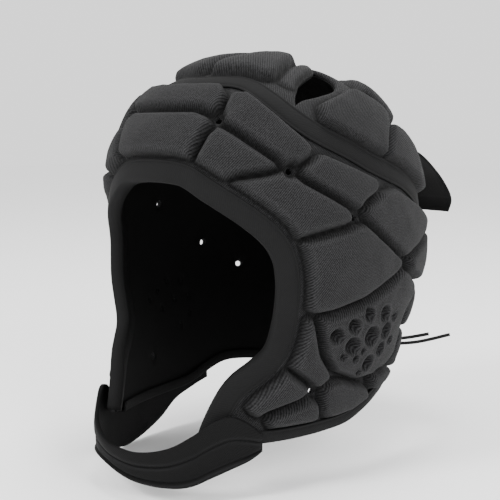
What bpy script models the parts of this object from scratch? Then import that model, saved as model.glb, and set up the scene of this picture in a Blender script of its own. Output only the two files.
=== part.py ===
"""Flag football helmet: a soft padded head guard, sewn from ribbed mesh cloth over moulded foam.

The shell is described in a chart of two numbers: an angle round the head in degrees, 0 at the front
and 90 at the wearer's left, and a level, 0 at the top of the crown, 1 at the brow and 2.2 at the jaw.
Front is -Y, the wearer's left is +X and up is +Z. The origin is where the crown of a head touches.
"""
import math

import bmesh
import bpy
from mathutils import Vector, geometry

# shell, measured on the outside of the base cloth between the pads
HALF_WIDTH = 0.0865
FRONT = 0.108
BACK = 0.106
DROP = 0.250

# layers
SHELL_THICK = 0.003
LINING_THICK = 0.001
GAP = 0.0003
PAD_HEIGHT = 0.007
PAD_SIDE = 0.0028
PAD_DOME = 0.0012
CORNER_RADIUS = 0.0045
SPLIT_HALF_ANGLE = 1.5

# edging and tapes
TAPE_WIDTH = 0.013
TAPE_THICK = 0.001
TAPE_LIFT = 0.0006
SEAM_GAP = 0.0006
FACE_BINDING_WIDTH = 0.0110
EDGE_BINDING_WIDTH = 0.0055
BINDING_THICK = 0.0011
BINDING_CLEAR = 0.0008
BINDING_INNER_CLEAR = 0.0013
STATION = 0.0100

# holes
VENT_HOLE_RADIUS = 0.0018
EAR_HOLE_RADIUS = 0.0013
EAR_RING_RADIUS = 0.0125
EAR_HOLES = 8
EAR_ANGLE = 81.5
EAR_LEVEL = 1.745

# chin strap
STRAP_FRONT = 0.125
STRAP_THICK = 0.0022
STRAP_RIM = 0.0010

# rear strap
TONGUE_HALF_WIDTH = 0.055
TONGUE_ROOT_ANGLE = 28.0
TONGUE_ROOT_LEVEL = 0.735
TONGUE_SEAT_LEVEL = 0.790
TONGUE_LIFT = 0.0006
TONGUE_THICK = 0.0022
TONGUE_HEM_EXTRA = 0.0012

# back lace
LACE_DIAMETER = 0.0017
KNOT_RADIUS = 0.0038
LACE_HOLE_RADIUS = 0.0016
LACE_HOLE_ANGLE = 171.0
LACE_LEVEL_LOW = 1.95
LACE_LEVEL_HIGH = 1.80

# one chart unit of level is about this long on the shell, and so is this many degrees
LEVEL_LENGTH = 0.120
DEGREES_PER_LEVEL = 75.0
GRID_ANGLE = 11.0
GRID_LEVEL = 0.13

# level, share of DROP, share of HALF_WIDTH, share of FRONT, share of BACK, squareness
SECTIONS = [
    (0.00, 0.000, 0.000, 0.000, 0.000, 2.00),
    (0.25, 0.020, 0.393, 0.385, 0.315, 2.00),
    (0.50, 0.084, 0.694, 0.700, 0.530, 2.10),
    (0.75, 0.180, 0.855, 0.870, 0.850, 2.15),
    (1.00, 0.292, 0.948, 0.944, 0.990, 2.20),
    (1.25, 0.412, 0.994, 0.972, 1.000, 2.20),
    (1.50, 0.532, 1.000, 1.000, 0.896, 2.20),
    (1.75, 0.652, 0.919, 1.000, 0.755, 2.20),
    (2.00, 0.772, 0.844, 1.037, 0.670, 2.20),
    (2.25, 0.892, 0.798, 1.093, 0.640, 2.30),
    (2.50, 1.000, 0.740, 1.120, 0.640, 2.40),
]

# the middle of the seam tape on the wearer's left: angle, level
TAPE_LINE = [
    (0, 0.405), (18, 0.405), (27, 0.418), (34, 0.455), (42, 0.535), (50, 0.625), (58, 0.700), (66, 0.755),
    (77, 0.815), (89, 0.880), (102, 0.935), (114, 0.985), (126, 1.060), (138, 1.145), (160, 1.200),
    (180, 1.210),
]

# the free edge of the face opening on the wearer's left, from the middle of the forehead to the jaw
FACE_LINE = [
    (0, 0.970), (6, 0.973), (13, 0.990), (20, 1.050), (31, 1.150), (39, 1.240), (43, 1.320),
    (44.3, 1.410), (44.3, 1.510), (43.3, 1.630), (41, 1.740), (36, 1.805), (30, 1.865),
    (26, 1.930), (23, 2.010), (21, 2.080), (20, 2.130),
]

# the lower edge on the wearer's left, from the jaw to the split at the back
NECK_LINE = [
    (23.5, 2.160), (32, 2.176), (47, 2.185), (67, 2.185), (83, 2.175), (96, 2.135), (110, 2.080),
    (122, 2.055), (140, 2.045), (162, 2.050), (178.5, 2.050),
]

# raised pads of the side panel that cross the middle of the forehead: name, corners (angle, level)
FOREHEAD_PADS = [
    ("brow", [(-15, 0.630), (15, 0.630), (20.5, 0.705), (15.5, 0.862), (-15.5, 0.862), (-20.5, 0.705)]),
    ("upper brow", [(-19, 0.478), (19, 0.478), (22.5, 0.540), (21, 0.610), (-21, 0.610), (-22.5, 0.540)]),
]

# raised pads of the side panel on the wearer's left: name, corners (angle, level)
SIDE_PADS = [
    ("front of tape", [(26.5, 0.545), (33, 0.540), (57.5, 0.835), (47.5, 0.885), (26, 0.685)]),
    ("temple triangle", [(21, 0.745), (25, 0.716), (30, 0.757), (43.5, 0.892), (40, 0.912), (25, 0.940),
                         (18, 0.880)]),
    ("temple", [(30, 0.975), (46, 0.940), (69, 1.110), (71.5, 1.160), (68, 1.178), (49.5, 1.205),
                (46, 1.170), (33, 1.015)]),
    ("middle of tape", [(52, 0.935), (61, 0.862), (87, 0.985), (88, 1.035), (77, 1.092)]),
    ("back of tape", [(80.5, 1.108), (90, 1.062), (101, 1.045), (134, 1.215), (130, 1.262), (105, 1.350),
                      (83, 1.175)]),
    ("cheekbone", [(52.5, 1.262), (66, 1.212), (80.5, 1.200), (101.5, 1.395), (97, 1.448), (62, 1.560),
                   (55, 1.548), (53.5, 1.340)]),
    ("rear quarter", [(111, 1.392), (133, 1.300), (150, 1.285), (152, 1.440), (134, 1.515), (112, 1.430)]),
    ("ear", [(59, 1.612), (78, 1.578), (103, 1.432), (117, 1.540), (109, 1.650), (110, 1.860),
             (100, 1.930), (82, 1.932), (69, 1.865), (61.5, 1.765)]),
    ("front of ear", [(54.5, 1.615), (53, 1.700), (49, 1.800), (50.5, 1.848), (60, 1.936), (64.5, 1.905),
                      (60.5, 1.800), (57, 1.640)]),
    ("cheek", [(33.5, 1.975), (43.5, 1.868), (47.5, 1.865), (55, 1.950), (52.5, 1.992), (37, 2.048)]),
    ("jaw", [(40.5, 2.072), (55.5, 2.018), (60, 2.045), (60, 2.100), (55, 2.122), (43, 2.122)]),
    ("under ear", [(64.5, 1.958), (72, 1.962), (91, 2.028), (93, 2.068), (80, 2.108), (67.5, 2.112),
                   (64, 2.070)]),
    ("behind jaw", [(97, 1.958), (113, 1.970), (114, 1.988), (103, 2.032), (97.5, 2.022)]),
    ("upper nape", [(157, 1.290), (168, 1.290), (168, 1.455), (158, 1.460)]),
    ("nape", [(118, 1.660), (128, 1.600), (150, 1.515), (168, 1.505), (168, 1.725), (146, 1.735),
              (117.5, 1.735)]),
    ("lower nape", [(118.5, 1.785), (146, 1.785), (168, 1.775), (168, 1.970), (148, 1.990), (126, 1.975),
                    (118, 1.900)]),
]

# raised pads of the crown on the wearer's left: name, corners (angle, level)
CROWN_PADS = [
    ("crown front", [(5, 0.325), (32, 0.342), (44.5, 0.385), (79, 0.165), (115, 0.104), (165, 0.110)]),
    ("vent lip", [(56.5, 0.452), (49.5, 0.392), (92, 0.170), (113, 0.196), (76, 0.304)]),
    ("crown side", [(69, 0.590), (80, 0.550), (92, 0.508), (116, 0.632), (113, 0.685), (97, 0.795),
                    (84, 0.765), (68, 0.660)]),
    ("crown rear side", [(117, 0.702), (136, 0.790), (139, 0.960), (135, 1.010), (112, 0.880),
                         (101, 0.818)]),
    ("crown middle", [(176, 0.430), (150, 0.420), (113, 0.500), (121, 0.615), (140, 0.675), (176.5, 0.620)]),
]

# the two edges of the crown vent on the wearer's left: from its end by the tape up, and back again
VENT_FRONT = [
    (54.5, 0.565), (55.5, 0.510), (58, 0.460), (61.5, 0.405), (75, 0.325), (95, 0.262), (115, 0.218),
]
VENT_REAR = [
    (115, 0.218), (104, 0.280), (97, 0.355), (87, 0.415), (81, 0.465), (69, 0.505), (59, 0.532),
    (54.5, 0.565),
]

# vent holes on the wearer's left
VENT_HOLES = [
    (22.8, 0.658), (48.8, 0.918), (76.5, 1.150), (106, 1.402), (125, 1.548), (59.5, 1.985),
]

# chin strap: angle, then reach of its inner face as a share of STRAP_FRONT, then the heights of its
# upper and lower edges as shares of DROP; one end lies outside the wearer's left jaw, and the other
# overlaps the edge of the right jaw and hangs below it
STRAP_LINE = [
    (-104, 0.597, 0.846, 0.868), (-92, 0.591, 0.844, 0.888), (-80, 0.596, 0.844, 0.909),
    (-70, 0.617, 0.844, 0.946), (-60, 0.653, 0.844, 0.970), (-51, 0.700, 0.844, 0.984),
    (-43, 0.747, 0.842, 0.984), (-36, 0.797, 0.822, 0.968), (-30, 0.846, 0.788, 0.948),
    (-22, 0.904, 0.806, 0.928), (-14, 0.964, 0.844, 0.917), (-6, 0.994, 0.870, 0.920),
    (0, 1.000, 0.876, 0.933), (6, 0.994, 0.876, 0.944), (14, 0.965, 0.860, 0.950),
    (20, 0.925, 0.832, 0.946), (25, 0.878, 0.804, 0.930), (30, 0.838, 0.792, 0.914),
    (35, 0.796, 0.812, 0.900), (39.5, 0.767, 0.842, 0.882),
]

# the section of the strap: share of the way down, lift as a share of STRAP_THICK, and of STRAP_RIM
STRAP_SECTION = [
    (0.00, 0.0, 0.0), (0.02, 1.0, 1.0), (0.44, 1.0, 1.0), (0.50, 1.0, 0.0),
    (0.86, 1.0, 0.0), (0.90, 1.0, 1.0), (1.00, 1.0, 0.5), (1.00, 0.0, 0.0),
]

# rear strap below its seat: distance behind the middle as a share of BACK, depth as a share of DROP,
# half width as a share of TONGUE_HALF_WIDTH, and how far its ends bow forward as a share of BACK
TONGUE_LINE = [
    (1.080, 0.245, 0.955, 0.170), (1.240, 0.300, 0.970, 0.110), (1.345, 0.352, 1.000, 0.080),
    (1.375, 0.378, 0.930, 0.070),
]

# free ends of the lace, from the knot: across, back and up
LACE_END_UPPER = [
    (0.0042, 0.0030, 0.0012), (0.019, 0.013, 0.0000), (0.037, 0.025, 0.0012), (0.053, 0.034, 0.0050),
]
LACE_END_LOWER = [
    (0.0042, 0.0030, -0.0012), (0.020, 0.015, -0.0030), (0.042, 0.031, -0.0022), (0.064, 0.044, 0.0045),
]

LOOKS = {
    "cloth": ((0.052, 0.052, 0.054), 0.85, 0.0),
    "black": ((0.014, 0.014, 0.015), 0.80, 0.0),
    "lining": ((0.005, 0.005, 0.005), 0.95, 0.0),
    "cord": ((0.010, 0.010, 0.010), 0.70, 0.0),
}
SEAT = SHELL_THICK + GAP + LINING_THICK


def smooth(rows, column, at):
    """A value of a table, read through a smooth curve of its first column."""
    last = len(rows) - 1
    at = min(max(at, rows[0][0]), rows[last][0])
    i = next(k for k in range(last) if at <= rows[k + 1][0])

    def slope(k):
        a, b = max(k - 1, 0), min(k + 1, last)
        return (rows[b][column] - rows[a][column]) / (rows[b][0] - rows[a][0])

    step = rows[i + 1][0] - rows[i][0]
    s = (at - rows[i][0]) / step
    a, b = rows[i][column], rows[i + 1][column]
    return ((2 * s**3 - 3 * s**2 + 1) * a + (s**3 - 2 * s**2 + s) * slope(i) * step
            + (-2 * s**3 + 3 * s**2) * b + (s**3 - s**2) * slope(i + 1) * step)


def radius(angle, half_width, front, back, squareness):
    """The distance from the middle to a rounded outline in plan."""
    across, along = math.sin(math.radians(angle)), math.cos(math.radians(angle))
    reach = front if along > 0 else back
    return (abs(across / half_width) ** squareness + abs(along / reach) ** squareness) ** (-1 / squareness)


def base(angle, level):
    """A point on the outside of the base cloth."""
    level = max(level, 1e-4)
    drop = smooth(SECTIONS, 1, level) if level > 0.25 else SECTIONS[1][1] * (level / 0.25) ** 2
    r = radius(angle, HALF_WIDTH * smooth(SECTIONS, 2, level), FRONT * smooth(SECTIONS, 3, level),
               BACK * smooth(SECTIONS, 4, level), smooth(SECTIONS, 5, level))
    turn = math.radians(angle)
    return Vector((r * math.sin(turn), -r * math.cos(turn), SEAT - DROP * drop))


def from_side(u, v):
    """Angle and level of a place in the side chart."""
    return u * DEGREES_PER_LEVEL, v


def to_side(angle, level):
    return angle / DEGREES_PER_LEVEL, level


def from_crown(u, v):
    """Angle and level of a place in the crown chart, which looks down on the crown."""
    return math.degrees(math.atan2(u, -v)), math.hypot(u, v)


def to_crown(angle, level):
    turn = math.radians(angle)
    return level * math.sin(turn), -level * math.cos(turn)


def place(chart, u, v, lift=0.0):
    """The point at a place in a chart, lifted off the base cloth."""
    step = 0.004
    point = base(*chart(u, v))
    across = base(*chart(u + step, v)) - base(*chart(u - step, v))
    down = base(*chart(u, v + step)) - base(*chart(u, v - step))
    out = across.cross(-down) if chart is from_side else down.cross(-across)
    out.normalize()
    if out.dot(point - Vector((0, 0, SEAT - DROP * 0.5))) < 0:
        out = -out
    return point + out * lift


def curve_through(points, spacing):
    """Points about a spacing apart on a smooth curve through some chart places."""
    ends = [points[0]] + list(points) + [points[-1]]
    fine = []
    for a, b, c, d in zip(ends, ends[1:], ends[2:], ends[3:]):
        for k in range(12):
            s = k / 12
            spot = []
            for p, q, r, w in zip(a, b, c, d):
                square, cube = 2 * p - 5 * q + 4 * r - w, 3 * q - p - 3 * r + w
                spot.append(0.5 * (2 * q + (r - p) * s + square * s**2 + cube * s**3))
            fine.append(tuple(spot))
    fine.append(tuple(points[-1]))
    lengths = [0.0]
    for a, b in zip(fine, fine[1:]):
        lengths.append(lengths[-1] + math.dist(a, b))
    count = max(2, round(lengths[-1] / spacing))
    out, i = [], 0
    for k in range(count + 1):
        want = lengths[-1] * k / count
        while i < len(fine) - 2 and lengths[i + 1] < want:
            i += 1
        s = (want - lengths[i]) / max(lengths[i + 1] - lengths[i], 1e-12)
        out.append(tuple(p + (q - p) * s for p, q in zip(fine[i], fine[i + 1])))
    return out


def shifted(path, distance):
    """A path moved to its left by a distance in its own plane."""
    out = []
    for i, p in enumerate(path):
        a, b = path[max(i - 1, 0)], path[min(i + 1, len(path) - 1)]
        dx, dy = b[0] - a[0], b[1] - a[1]
        size = math.hypot(dx, dy)
        out.append((p[0] - dy / size * distance, p[1] + dx / size * distance))
    return out


def mirrored(points):
    return [(-u, v) for u, v in reversed(points)]


def inset(corners, distance):
    """The corners of a polygon whose sides are all moved inwards; a side that shrinks away is dropped."""
    turn = sum(a[0] * b[1] - b[0] * a[1] for a, b in zip(corners, corners[1:] + corners[:1]))
    move = distance if turn > 0 else -distance
    lines = []
    for a, b in zip(corners, corners[1:] + corners[:1]):
        way = (Vector(b) - Vector(a)).normalized()
        lines.append((Vector(a) + Vector((-way.y, way.x)) * move, way))
    while True:
        out = []
        for (p, d), (q, e) in zip(lines[-1:] + lines[:-1], lines):
            s = (q - p).cross(e) / d.cross(e)
            out.append(p + d * s)
        spans = [(b - a).dot(way) for a, b, (_, way) in zip(out, out[1:] + out[:1], lines)]
        if min(spans) > 0.3 * distance:
            return [tuple(p) for p in out]
        del lines[spans.index(min(spans))]


def rounded(corners, corner_radius, steps):
    """A polygon with its corners rounded, with steps + 1 points to each."""
    out = []
    count = len(corners)
    for i in range(count):
        a, b, c = (Vector(corners[k % count]) for k in (i - 1, i, i + 1))
        before, after = a - b, c - b
        half = before.angle(after) / 2
        reach = min(corner_radius / math.tan(half), 0.42 * before.length, 0.42 * after.length)
        start, end = b + before.normalized() * reach, b + after.normalized() * reach
        for k in range(steps + 1):
            s = k / steps
            out.append(tuple(start * (1 - s) ** 2 + b * 2 * s * (1 - s) + end * s * s))
    return out


def pad_rings(corners):
    """The outline of a pad and its rings, each as (lift, points)."""
    corner, side = CORNER_RADIUS / LEVEL_LENGTH, PAD_SIDE / LEVEL_LENGTH
    return [
        (0.0, rounded(corners, corner, 1)),
        (PAD_HEIGHT * 0.72, rounded(inset(corners, side * 0.30), corner * 0.85, 1)),
        (PAD_HEIGHT, rounded(inset(corners, side), corner * 0.6, 1)),
    ]


def hole_ring(u, v, hole_radius, sides=6):
    size = hole_radius / LEVEL_LENGTH
    turns = [math.tau * k / sides for k in range(sides)]
    return [(u + size * math.cos(turn), v + size * math.sin(turn)) for turn in turns]


def inside(point, loop):
    x, y = point
    odd = False
    for (x0, y0), (x1, y1) in zip(loop, loop[1:] + loop[:1]):
        if (y0 > y) != (y1 > y) and x < (x1 - x0) * (y - y0) / (y1 - y0) + x0:
            odd = not odd
    return odd


def clear_of(point, loops, room):
    x, y = point
    for loop in loops:
        for (x0, y0), (x1, y1) in zip(loop, loop[1:] + loop[:1]):
            dx, dy = x1 - x0, y1 - y0
            s = min(max(((x - x0) * dx + (y - y0) * dy) / max(dx * dx + dy * dy, 1e-12), 0), 1)
            if math.hypot(x - x0 - dx * s, y - y0 - dy * s) < room:
                return False
    return True


def grid_points(boundary, spacing):
    us, vs = [p[0] for p in boundary], [p[1] for p in boundary]
    points = []
    across = round((max(us) - min(us)) / spacing[0])
    down = round((max(vs) - min(vs)) / spacing[1])
    for i in range(1, across):
        for j in range(1, down):
            points.append((min(us) + (max(us) - min(us)) * (i + 0.5 * (j % 2)) / across,
                           min(vs) + (max(vs) - min(vs)) * j / down))
    return points


def triangulate(boundary, holes, rings, spacing, room):
    """Triangles over a region of a chart: its points, their lifts, and the triangles."""
    points, lifts, edges = [], [], []

    def add_loop(loop, lift):
        start = len(points)
        points.extend(loop)
        lifts.extend([lift] * len(loop))
        edges.extend((start + k, start + (k + 1) % len(loop)) for k in range(len(loop)))

    add_loop(boundary, 0.0)
    tops = [pad[-1][1] for pad in rings]
    for hole in holes:
        add_loop(hole, PAD_HEIGHT if any(inside(hole[0], top) for top in tops) else 0.0)
    for pad in rings:
        for lift, loop in pad:
            add_loop(loop, lift)
    loops = [boundary] + holes + [loop for pad in rings for _, loop in pad]
    for p in grid_points(boundary, spacing):
        if not inside(p, boundary) or any(inside(p, h) for h in holes) or not clear_of(p, loops, room):
            continue
        on_top = any(inside(p, top) for top in tops)
        if not on_top and any(inside(p, pad[0][1]) for pad in rings):
            continue
        points.append(p)
        lifts.append(PAD_HEIGHT + PAD_DOME if on_top else 0.0)
    verts, _, faces, origin, _, _ = geometry.delaunay_2d_cdt([Vector(p) for p in points], edges, [], 0, 1e-7)
    lifts = [lifts[o[0]] for o in origin]
    index = {o[0]: k for k, o in enumerate(origin)}
    places = [tuple(v) for v in verts]
    kept = []
    for face in faces:
        middle = tuple(sum(places[k][a] for k in face) / 3 for a in (0, 1))
        if inside(middle, boundary) and not any(inside(middle, h) for h in holes):
            a, b, c = (places[k] for k in face)
            if (b[0] - a[0]) * (c[1] - a[1]) - (b[1] - a[1]) * (c[0] - a[0]) < 0:
                face = face[::-1]
            kept.append(tuple(face))
    loop_sets, start = [], 0
    for loop in [boundary] + holes:
        loop_sets.append([index[start + k] for k in range(len(loop))])
        start += len(loop)
    return places, lifts, kept, loop_sets


def new_object(name, verts, faces, look, smooth_faces=False):
    mesh = bpy.data.meshes.new(name)
    mesh.from_pydata([tuple(v) for v in verts], [], faces)
    mesh.validate()
    bm = bmesh.new()
    bm.from_mesh(mesh)
    bmesh.ops.recalc_face_normals(bm, faces=bm.faces)
    if bm.calc_volume(signed=True) < 0:
        bmesh.ops.reverse_faces(bm, faces=bm.faces)
    bm.to_mesh(mesh)
    bm.free()
    mesh.polygons.foreach_set("use_smooth", [smooth_faces] * len(mesh.polygons))
    obj = bpy.data.objects.new(name, mesh)
    bpy.context.scene.collection.objects.link(obj)
    mesh.materials.append(material(look))
    return obj


def material(look):
    found = bpy.data.materials.get(look)
    if found:
        return found
    colour, rough, metal = LOOKS[look]
    made = bpy.data.materials.new(look)
    made.use_nodes = True
    shader = made.node_tree.nodes["Principled BSDF"]
    shader.inputs["Base Color"].default_value = (*colour, 1)
    shader.inputs["Roughness"].default_value = rough
    shader.inputs["Metallic"].default_value = metal
    made.diffuse_color = (*colour, 1)
    return made


def layered(name, chart, outer, inner, top_lift, under_lift, look):
    """A solid between two triangulations of one region, whose loops have the same points."""
    places, lifts, faces, loops = outer
    under_places, _, under_faces, under_loops = inner
    verts = [place(chart, *p, top_lift + lift) for p, lift in zip(places, lifts)]
    start = len(verts)
    verts += [place(chart, *p, under_lift) for p in under_places]
    solid = [tuple(f) for f in faces] + [tuple(start + k for k in reversed(f)) for f in under_faces]
    for top, under in zip(loops, under_loops):
        for k in range(len(top)):
            j = (k + 1) % len(top)
            solid.append((top[k], top[j], start + under[j], start + under[k]))
    return new_object(name, verts, solid, look)


def sweep(name, chart, path, section, look, closed=False):
    """A section of (sideways, lift) points swept along a path of chart places."""
    verts, count = [], len(section)
    for i, p in enumerate(path):
        last = len(path)
        a = path[(i - 1) % last] if closed else path[max(i - 1, 0)]
        b = path[(i + 1) % last] if closed else path[min(i + 1, last - 1)]
        middle = place(chart, *p)
        along = (place(chart, *b) - place(chart, *a)).normalized()
        out = (place(chart, *p, 0.001) - middle).normalized()
        aside = out.cross(along).normalized()
        for sideways, lift in section:
            spot = middle + aside * sideways
            verts.append(spot + out * (lift - follow(chart, p, spot)))
    faces = []
    for i in range(len(path) if closed else len(path) - 1):
        a, b = i * count, (i + 1) % len(path) * count
        for k in range(count):
            j = (k + 1) % count
            faces.append((a + k, a + j, b + j, b + k))
    if not closed:
        faces.append(tuple(range(count)))
        faces.append(tuple((len(path) - 1) * count + k for k in reversed(range(count))))
    return new_object(name, verts, faces, look)


def follow(chart, p, spot):
    """How far a point stands above the base cloth, found near a chart place."""
    u, v = p
    for _ in range(3):
        here = place(chart, u, v)
        du = (place(chart, u + 0.01, v) - here) / 0.01
        dv = (place(chart, u, v + 0.01) - here) / 0.01
        miss = spot - here
        a, b, c = du.dot(du), du.dot(dv), dv.dot(dv)
        d, e = miss.dot(du), miss.dot(dv)
        size = a * c - b * b
        u, v = u + (d * c - e * b) / size, v + (e * a - d * b) / size
    here = place(chart, u, v)
    return (spot - here).dot((place(chart, u, v, 0.001) - here).normalized())


def channel(width, under):
    """The section of a binding folded over an edge; the edge itself is at sideways 0."""
    top, low = BINDING_CLEAR, -under - BINDING_INNER_CLEAR
    edge = -BINDING_CLEAR
    return [
        (width, top), (width * 0.5, top), (edge, top), (edge, low), (width * 0.8, low),
        (width * 0.8, low - BINDING_THICK), (edge, low - BINDING_THICK),
        (edge - BINDING_THICK, low - BINDING_THICK * 0.3), (edge - BINDING_THICK, top + BINDING_THICK * 0.3),
        (edge, top + BINDING_THICK), (width * 0.5, top + BINDING_THICK), (width, top + BINDING_THICK * 0.8),
    ]


def build_side():
    """The side panel and its lining, with the bindings of their edges."""
    spacing = STATION / LEVEL_LENGTH
    tape = curve_through([to_side(*p) for p in TAPE_LINE], spacing)
    split = 180 - SPLIT_HALF_ANGLE
    top = [p for p in shifted(tape, SEAM_GAP / 2 / LEVEL_LENGTH) if p[0] < split / DEGREES_PER_LEVEL - 0.02]
    corner = (split / DEGREES_PER_LEVEL, top[-1][1] + 0.003)
    face = curve_through([to_side(*p) for p in FACE_LINE], spacing)
    neck = curve_through([to_side(*p) for p in NECK_LINE], spacing)
    back = curve_through([neck[-1], corner], spacing * 1.3)
    edge_shift = (BINDING_CLEAR + BINDING_THICK) / LEVEL_LENGTH
    face_edge = shifted(face, -edge_shift)
    face_edge[0] = (0.0, face_edge[0][1])
    left = top[1:] + back[:0:-1] + neck[-2::-1] + face_edge[:0:-1]
    boundary = [(0.0, top[0][1])] + left + [face_edge[0]] + mirrored(left)
    ear = to_side(EAR_ANGLE, EAR_LEVEL)
    ring = EAR_RING_RADIUS / LEVEL_LENGTH
    centres = [to_side(*h) for h in VENT_HOLES] + [ear]
    turns = [math.tau * k / EAR_HOLES for k in range(EAR_HOLES)]
    centres += [(ear[0] + ring * math.cos(turn), ear[1] + ring * math.sin(turn)) for turn in turns]
    holes = [hole_ring(*c, VENT_HOLE_RADIUS) for c in centres[:len(VENT_HOLES)]]
    holes += [hole_ring(*c, EAR_HOLE_RADIUS) for c in centres[len(VENT_HOLES):]]
    for level in (LACE_LEVEL_LOW, LACE_LEVEL_HIGH):
        holes.append(hole_ring(*to_side(LACE_HOLE_ANGLE, level), LACE_HOLE_RADIUS))
    holes += [mirrored(h) for h in holes]
    pads = [[to_side(*c) for c in corners] for _, corners in SIDE_PADS]
    pads += [mirrored(p) for p in pads]
    pads += [[to_side(*c) for c in corners] for _, corners in FOREHEAD_PADS]
    rings = [pad_rings(p) for p in pads]
    grid = (GRID_ANGLE / DEGREES_PER_LEVEL, GRID_LEVEL)
    outer = triangulate(boundary, holes, rings, grid, 0.045)
    inner = triangulate(boundary, holes, [], grid, 0.050)
    layered("side_panel", from_side, outer, inner, 0.0, -SHELL_THICK, "cloth")
    layered("side_lining", from_side, inner, inner, -SHELL_THICK - GAP, -SEAT, "lining")
    around = mirrored(face_edge[1:]) + face_edge
    sweep("face_binding", from_side, around, channel(FACE_BINDING_WIDTH, SEAT), "black")
    room = (FACE_BINDING_WIDTH + 0.005) / LEVEL_LENGTH
    start = next(k for k in range(len(neck)) if math.dist(neck[k], face_edge[-1]) > room)
    for side, name in ((1, "left"), (-1, "right")):
        path = neck[start:-1] + back[1:-1]
        path = path if side > 0 else mirrored(path)
        sweep(f"neck_binding_{name}", from_side, path, channel(EDGE_BINDING_WIDTH, SEAT), "black")
    half = TAPE_WIDTH / 2
    low, high = TAPE_LIFT, TAPE_LIFT + TAPE_THICK
    section = [(-half, low), (0, low), (half, low), (half, high), (0, high * 1.1), (-half, high)]
    whole = 360 / DEGREES_PER_LEVEL
    wrap = tape + [(whole - u, v) for u, v in reversed(tape[1:-1])]
    sweep("seam_tape", from_side, wrap, section, "black", closed=True)


def build_crown():
    """The crown panel with its two vents, and its lining."""
    spacing = STATION / LEVEL_LENGTH
    tape = curve_through([to_side(*p) for p in TAPE_LINE], spacing)
    edge = [to_crown(*from_side(*p)) for p in shifted(tape, -SEAM_GAP / 2 / LEVEL_LENGTH)]
    edge[0], edge[-1] = (0.0, edge[0][1]), (0.0, edge[-1][1])
    boundary = edge + mirrored(edge)[1:-1]
    vent = curve_through([to_crown(*p) for p in VENT_FRONT], spacing)[:-1]
    vent += curve_through([to_crown(*p) for p in VENT_REAR], spacing)[:-1]
    vents = [vent, mirrored(vent)]
    pads = [[to_crown(*c) for c in corners] for _, corners in CROWN_PADS]
    pads += [mirrored(p) for p in pads]
    grid = (GRID_ANGLE * 1.2 / DEGREES_PER_LEVEL, GRID_LEVEL * 1.2)
    outer = triangulate(boundary, vents, [pad_rings(p) for p in pads], grid, 0.045)
    inner = triangulate(boundary, vents, [], grid, 0.050)
    layered("crown_panel", from_crown, outer, inner, 0.0, -SHELL_THICK, "cloth")
    layered("crown_lining", from_crown, inner, inner, -SHELL_THICK - GAP, -SEAT, "lining")


def build_strap():
    """The chin strap, a band with a wide binding at its upper edge and a rim at its lower edge."""
    first, last = STRAP_LINE[0][0], STRAP_LINE[-1][0]
    steps = round((last - first) / 5)
    verts, rows = [], []
    for i in range(steps + 1):
        angle = first + (last - first) * i / steps
        turn = math.radians(angle)
        reach, upper, lower = (smooth(STRAP_LINE, k, angle) for k in (1, 2, 3))
        row = []
        for share, thick, rim in STRAP_SECTION:
            r = reach * STRAP_FRONT + thick * STRAP_THICK + rim * STRAP_RIM
            row.append(len(verts))
            height = SEAT - DROP * (upper + (lower - upper) * share)
            verts.append(Vector((r * math.sin(turn), -r * math.cos(turn), height)))
        rows.append(row)
    faces = [tuple(rows[0]), tuple(reversed(rows[-1]))]
    for a, b in zip(rows, rows[1:]):
        for k in range(len(a)):
            j = (k + 1) % len(a)
            faces.append((a[k], b[k], b[j], a[j]))
    new_object("chin_strap", verts, faces, "black")


def build_tongue():
    """The rear strap: seated on the back of the crown, it then stands off behind the shell."""
    columns = 9
    inner, outer = [], []
    for level in (TONGUE_ROOT_LEVEL, TONGUE_SEAT_LEVEL):
        row_in, row_out = [], []
        for j in range(columns):
            angle = 180 - TONGUE_ROOT_ANGLE * (2 * j / (columns - 1) - 1)
            spot = to_side(angle, level)
            row_in.append(place(from_side, *spot, TONGUE_LIFT))
            row_out.append(place(from_side, *spot, TONGUE_LIFT + TONGUE_THICK))
        inner.append(row_in)
        outer.append(row_out)
    last = len(TONGUE_LINE) - 1
    for i, (reach, depth, width, bow) in enumerate(TONGUE_LINE):
        thick = TONGUE_THICK + (TONGUE_HEM_EXTRA if i >= last - 1 else 0.0)
        row_in, row_out = [], []
        for j in range(columns):
            share = 2 * j / (columns - 1) - 1
            x = TONGUE_HALF_WIDTH * width * share
            y = BACK * (reach - bow * share * share)
            z = SEAT - DROP * depth
            row_in.append(Vector((x, y, z)))
            row_out.append(Vector((x, y + thick * 0.75, z + thick * 0.66)))
        inner.append(row_in)
        outer.append(row_out)
    rows = len(inner)
    verts = [v for row in outer for v in row] + [v for row in inner for v in row]
    half_count = columns * rows
    faces = []
    for i in range(rows - 1):
        for j in range(columns - 1):
            a = i * columns + j
            quad = (a, a + 1, a + columns + 1, a + columns)
            faces.append(quad)
            faces.append(tuple(half_count + k for k in reversed(quad)))
    rim = list(range(columns)) + [i * columns + columns - 1 for i in range(1, rows)]
    rim += [(rows - 1) * columns + j for j in range(columns - 2, -1, -1)]
    rim += [i * columns for i in range(rows - 2, 0, -1)]
    for a, b in zip(rim, rim[1:] + rim[:1]):
        faces.append((a, half_count + a, half_count + b, b))
    new_object("rear_strap", verts, faces, "black")


def tube(name, points, look):
    curve = bpy.data.curves.new(name, "CURVE")
    curve.dimensions = "3D"
    curve.bevel_depth = LACE_DIAMETER / 2
    curve.bevel_resolution = 2
    curve.use_fill_caps = True
    spline = curve.splines.new("POLY")
    spline.points.add(len(points) - 1)
    for spot, p in zip(spline.points, points):
        spot.co = (*p, 1)
    curve.materials.append(material(look))
    obj = bpy.data.objects.new(name, curve)
    bpy.context.scene.collection.objects.link(obj)
    return obj


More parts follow.
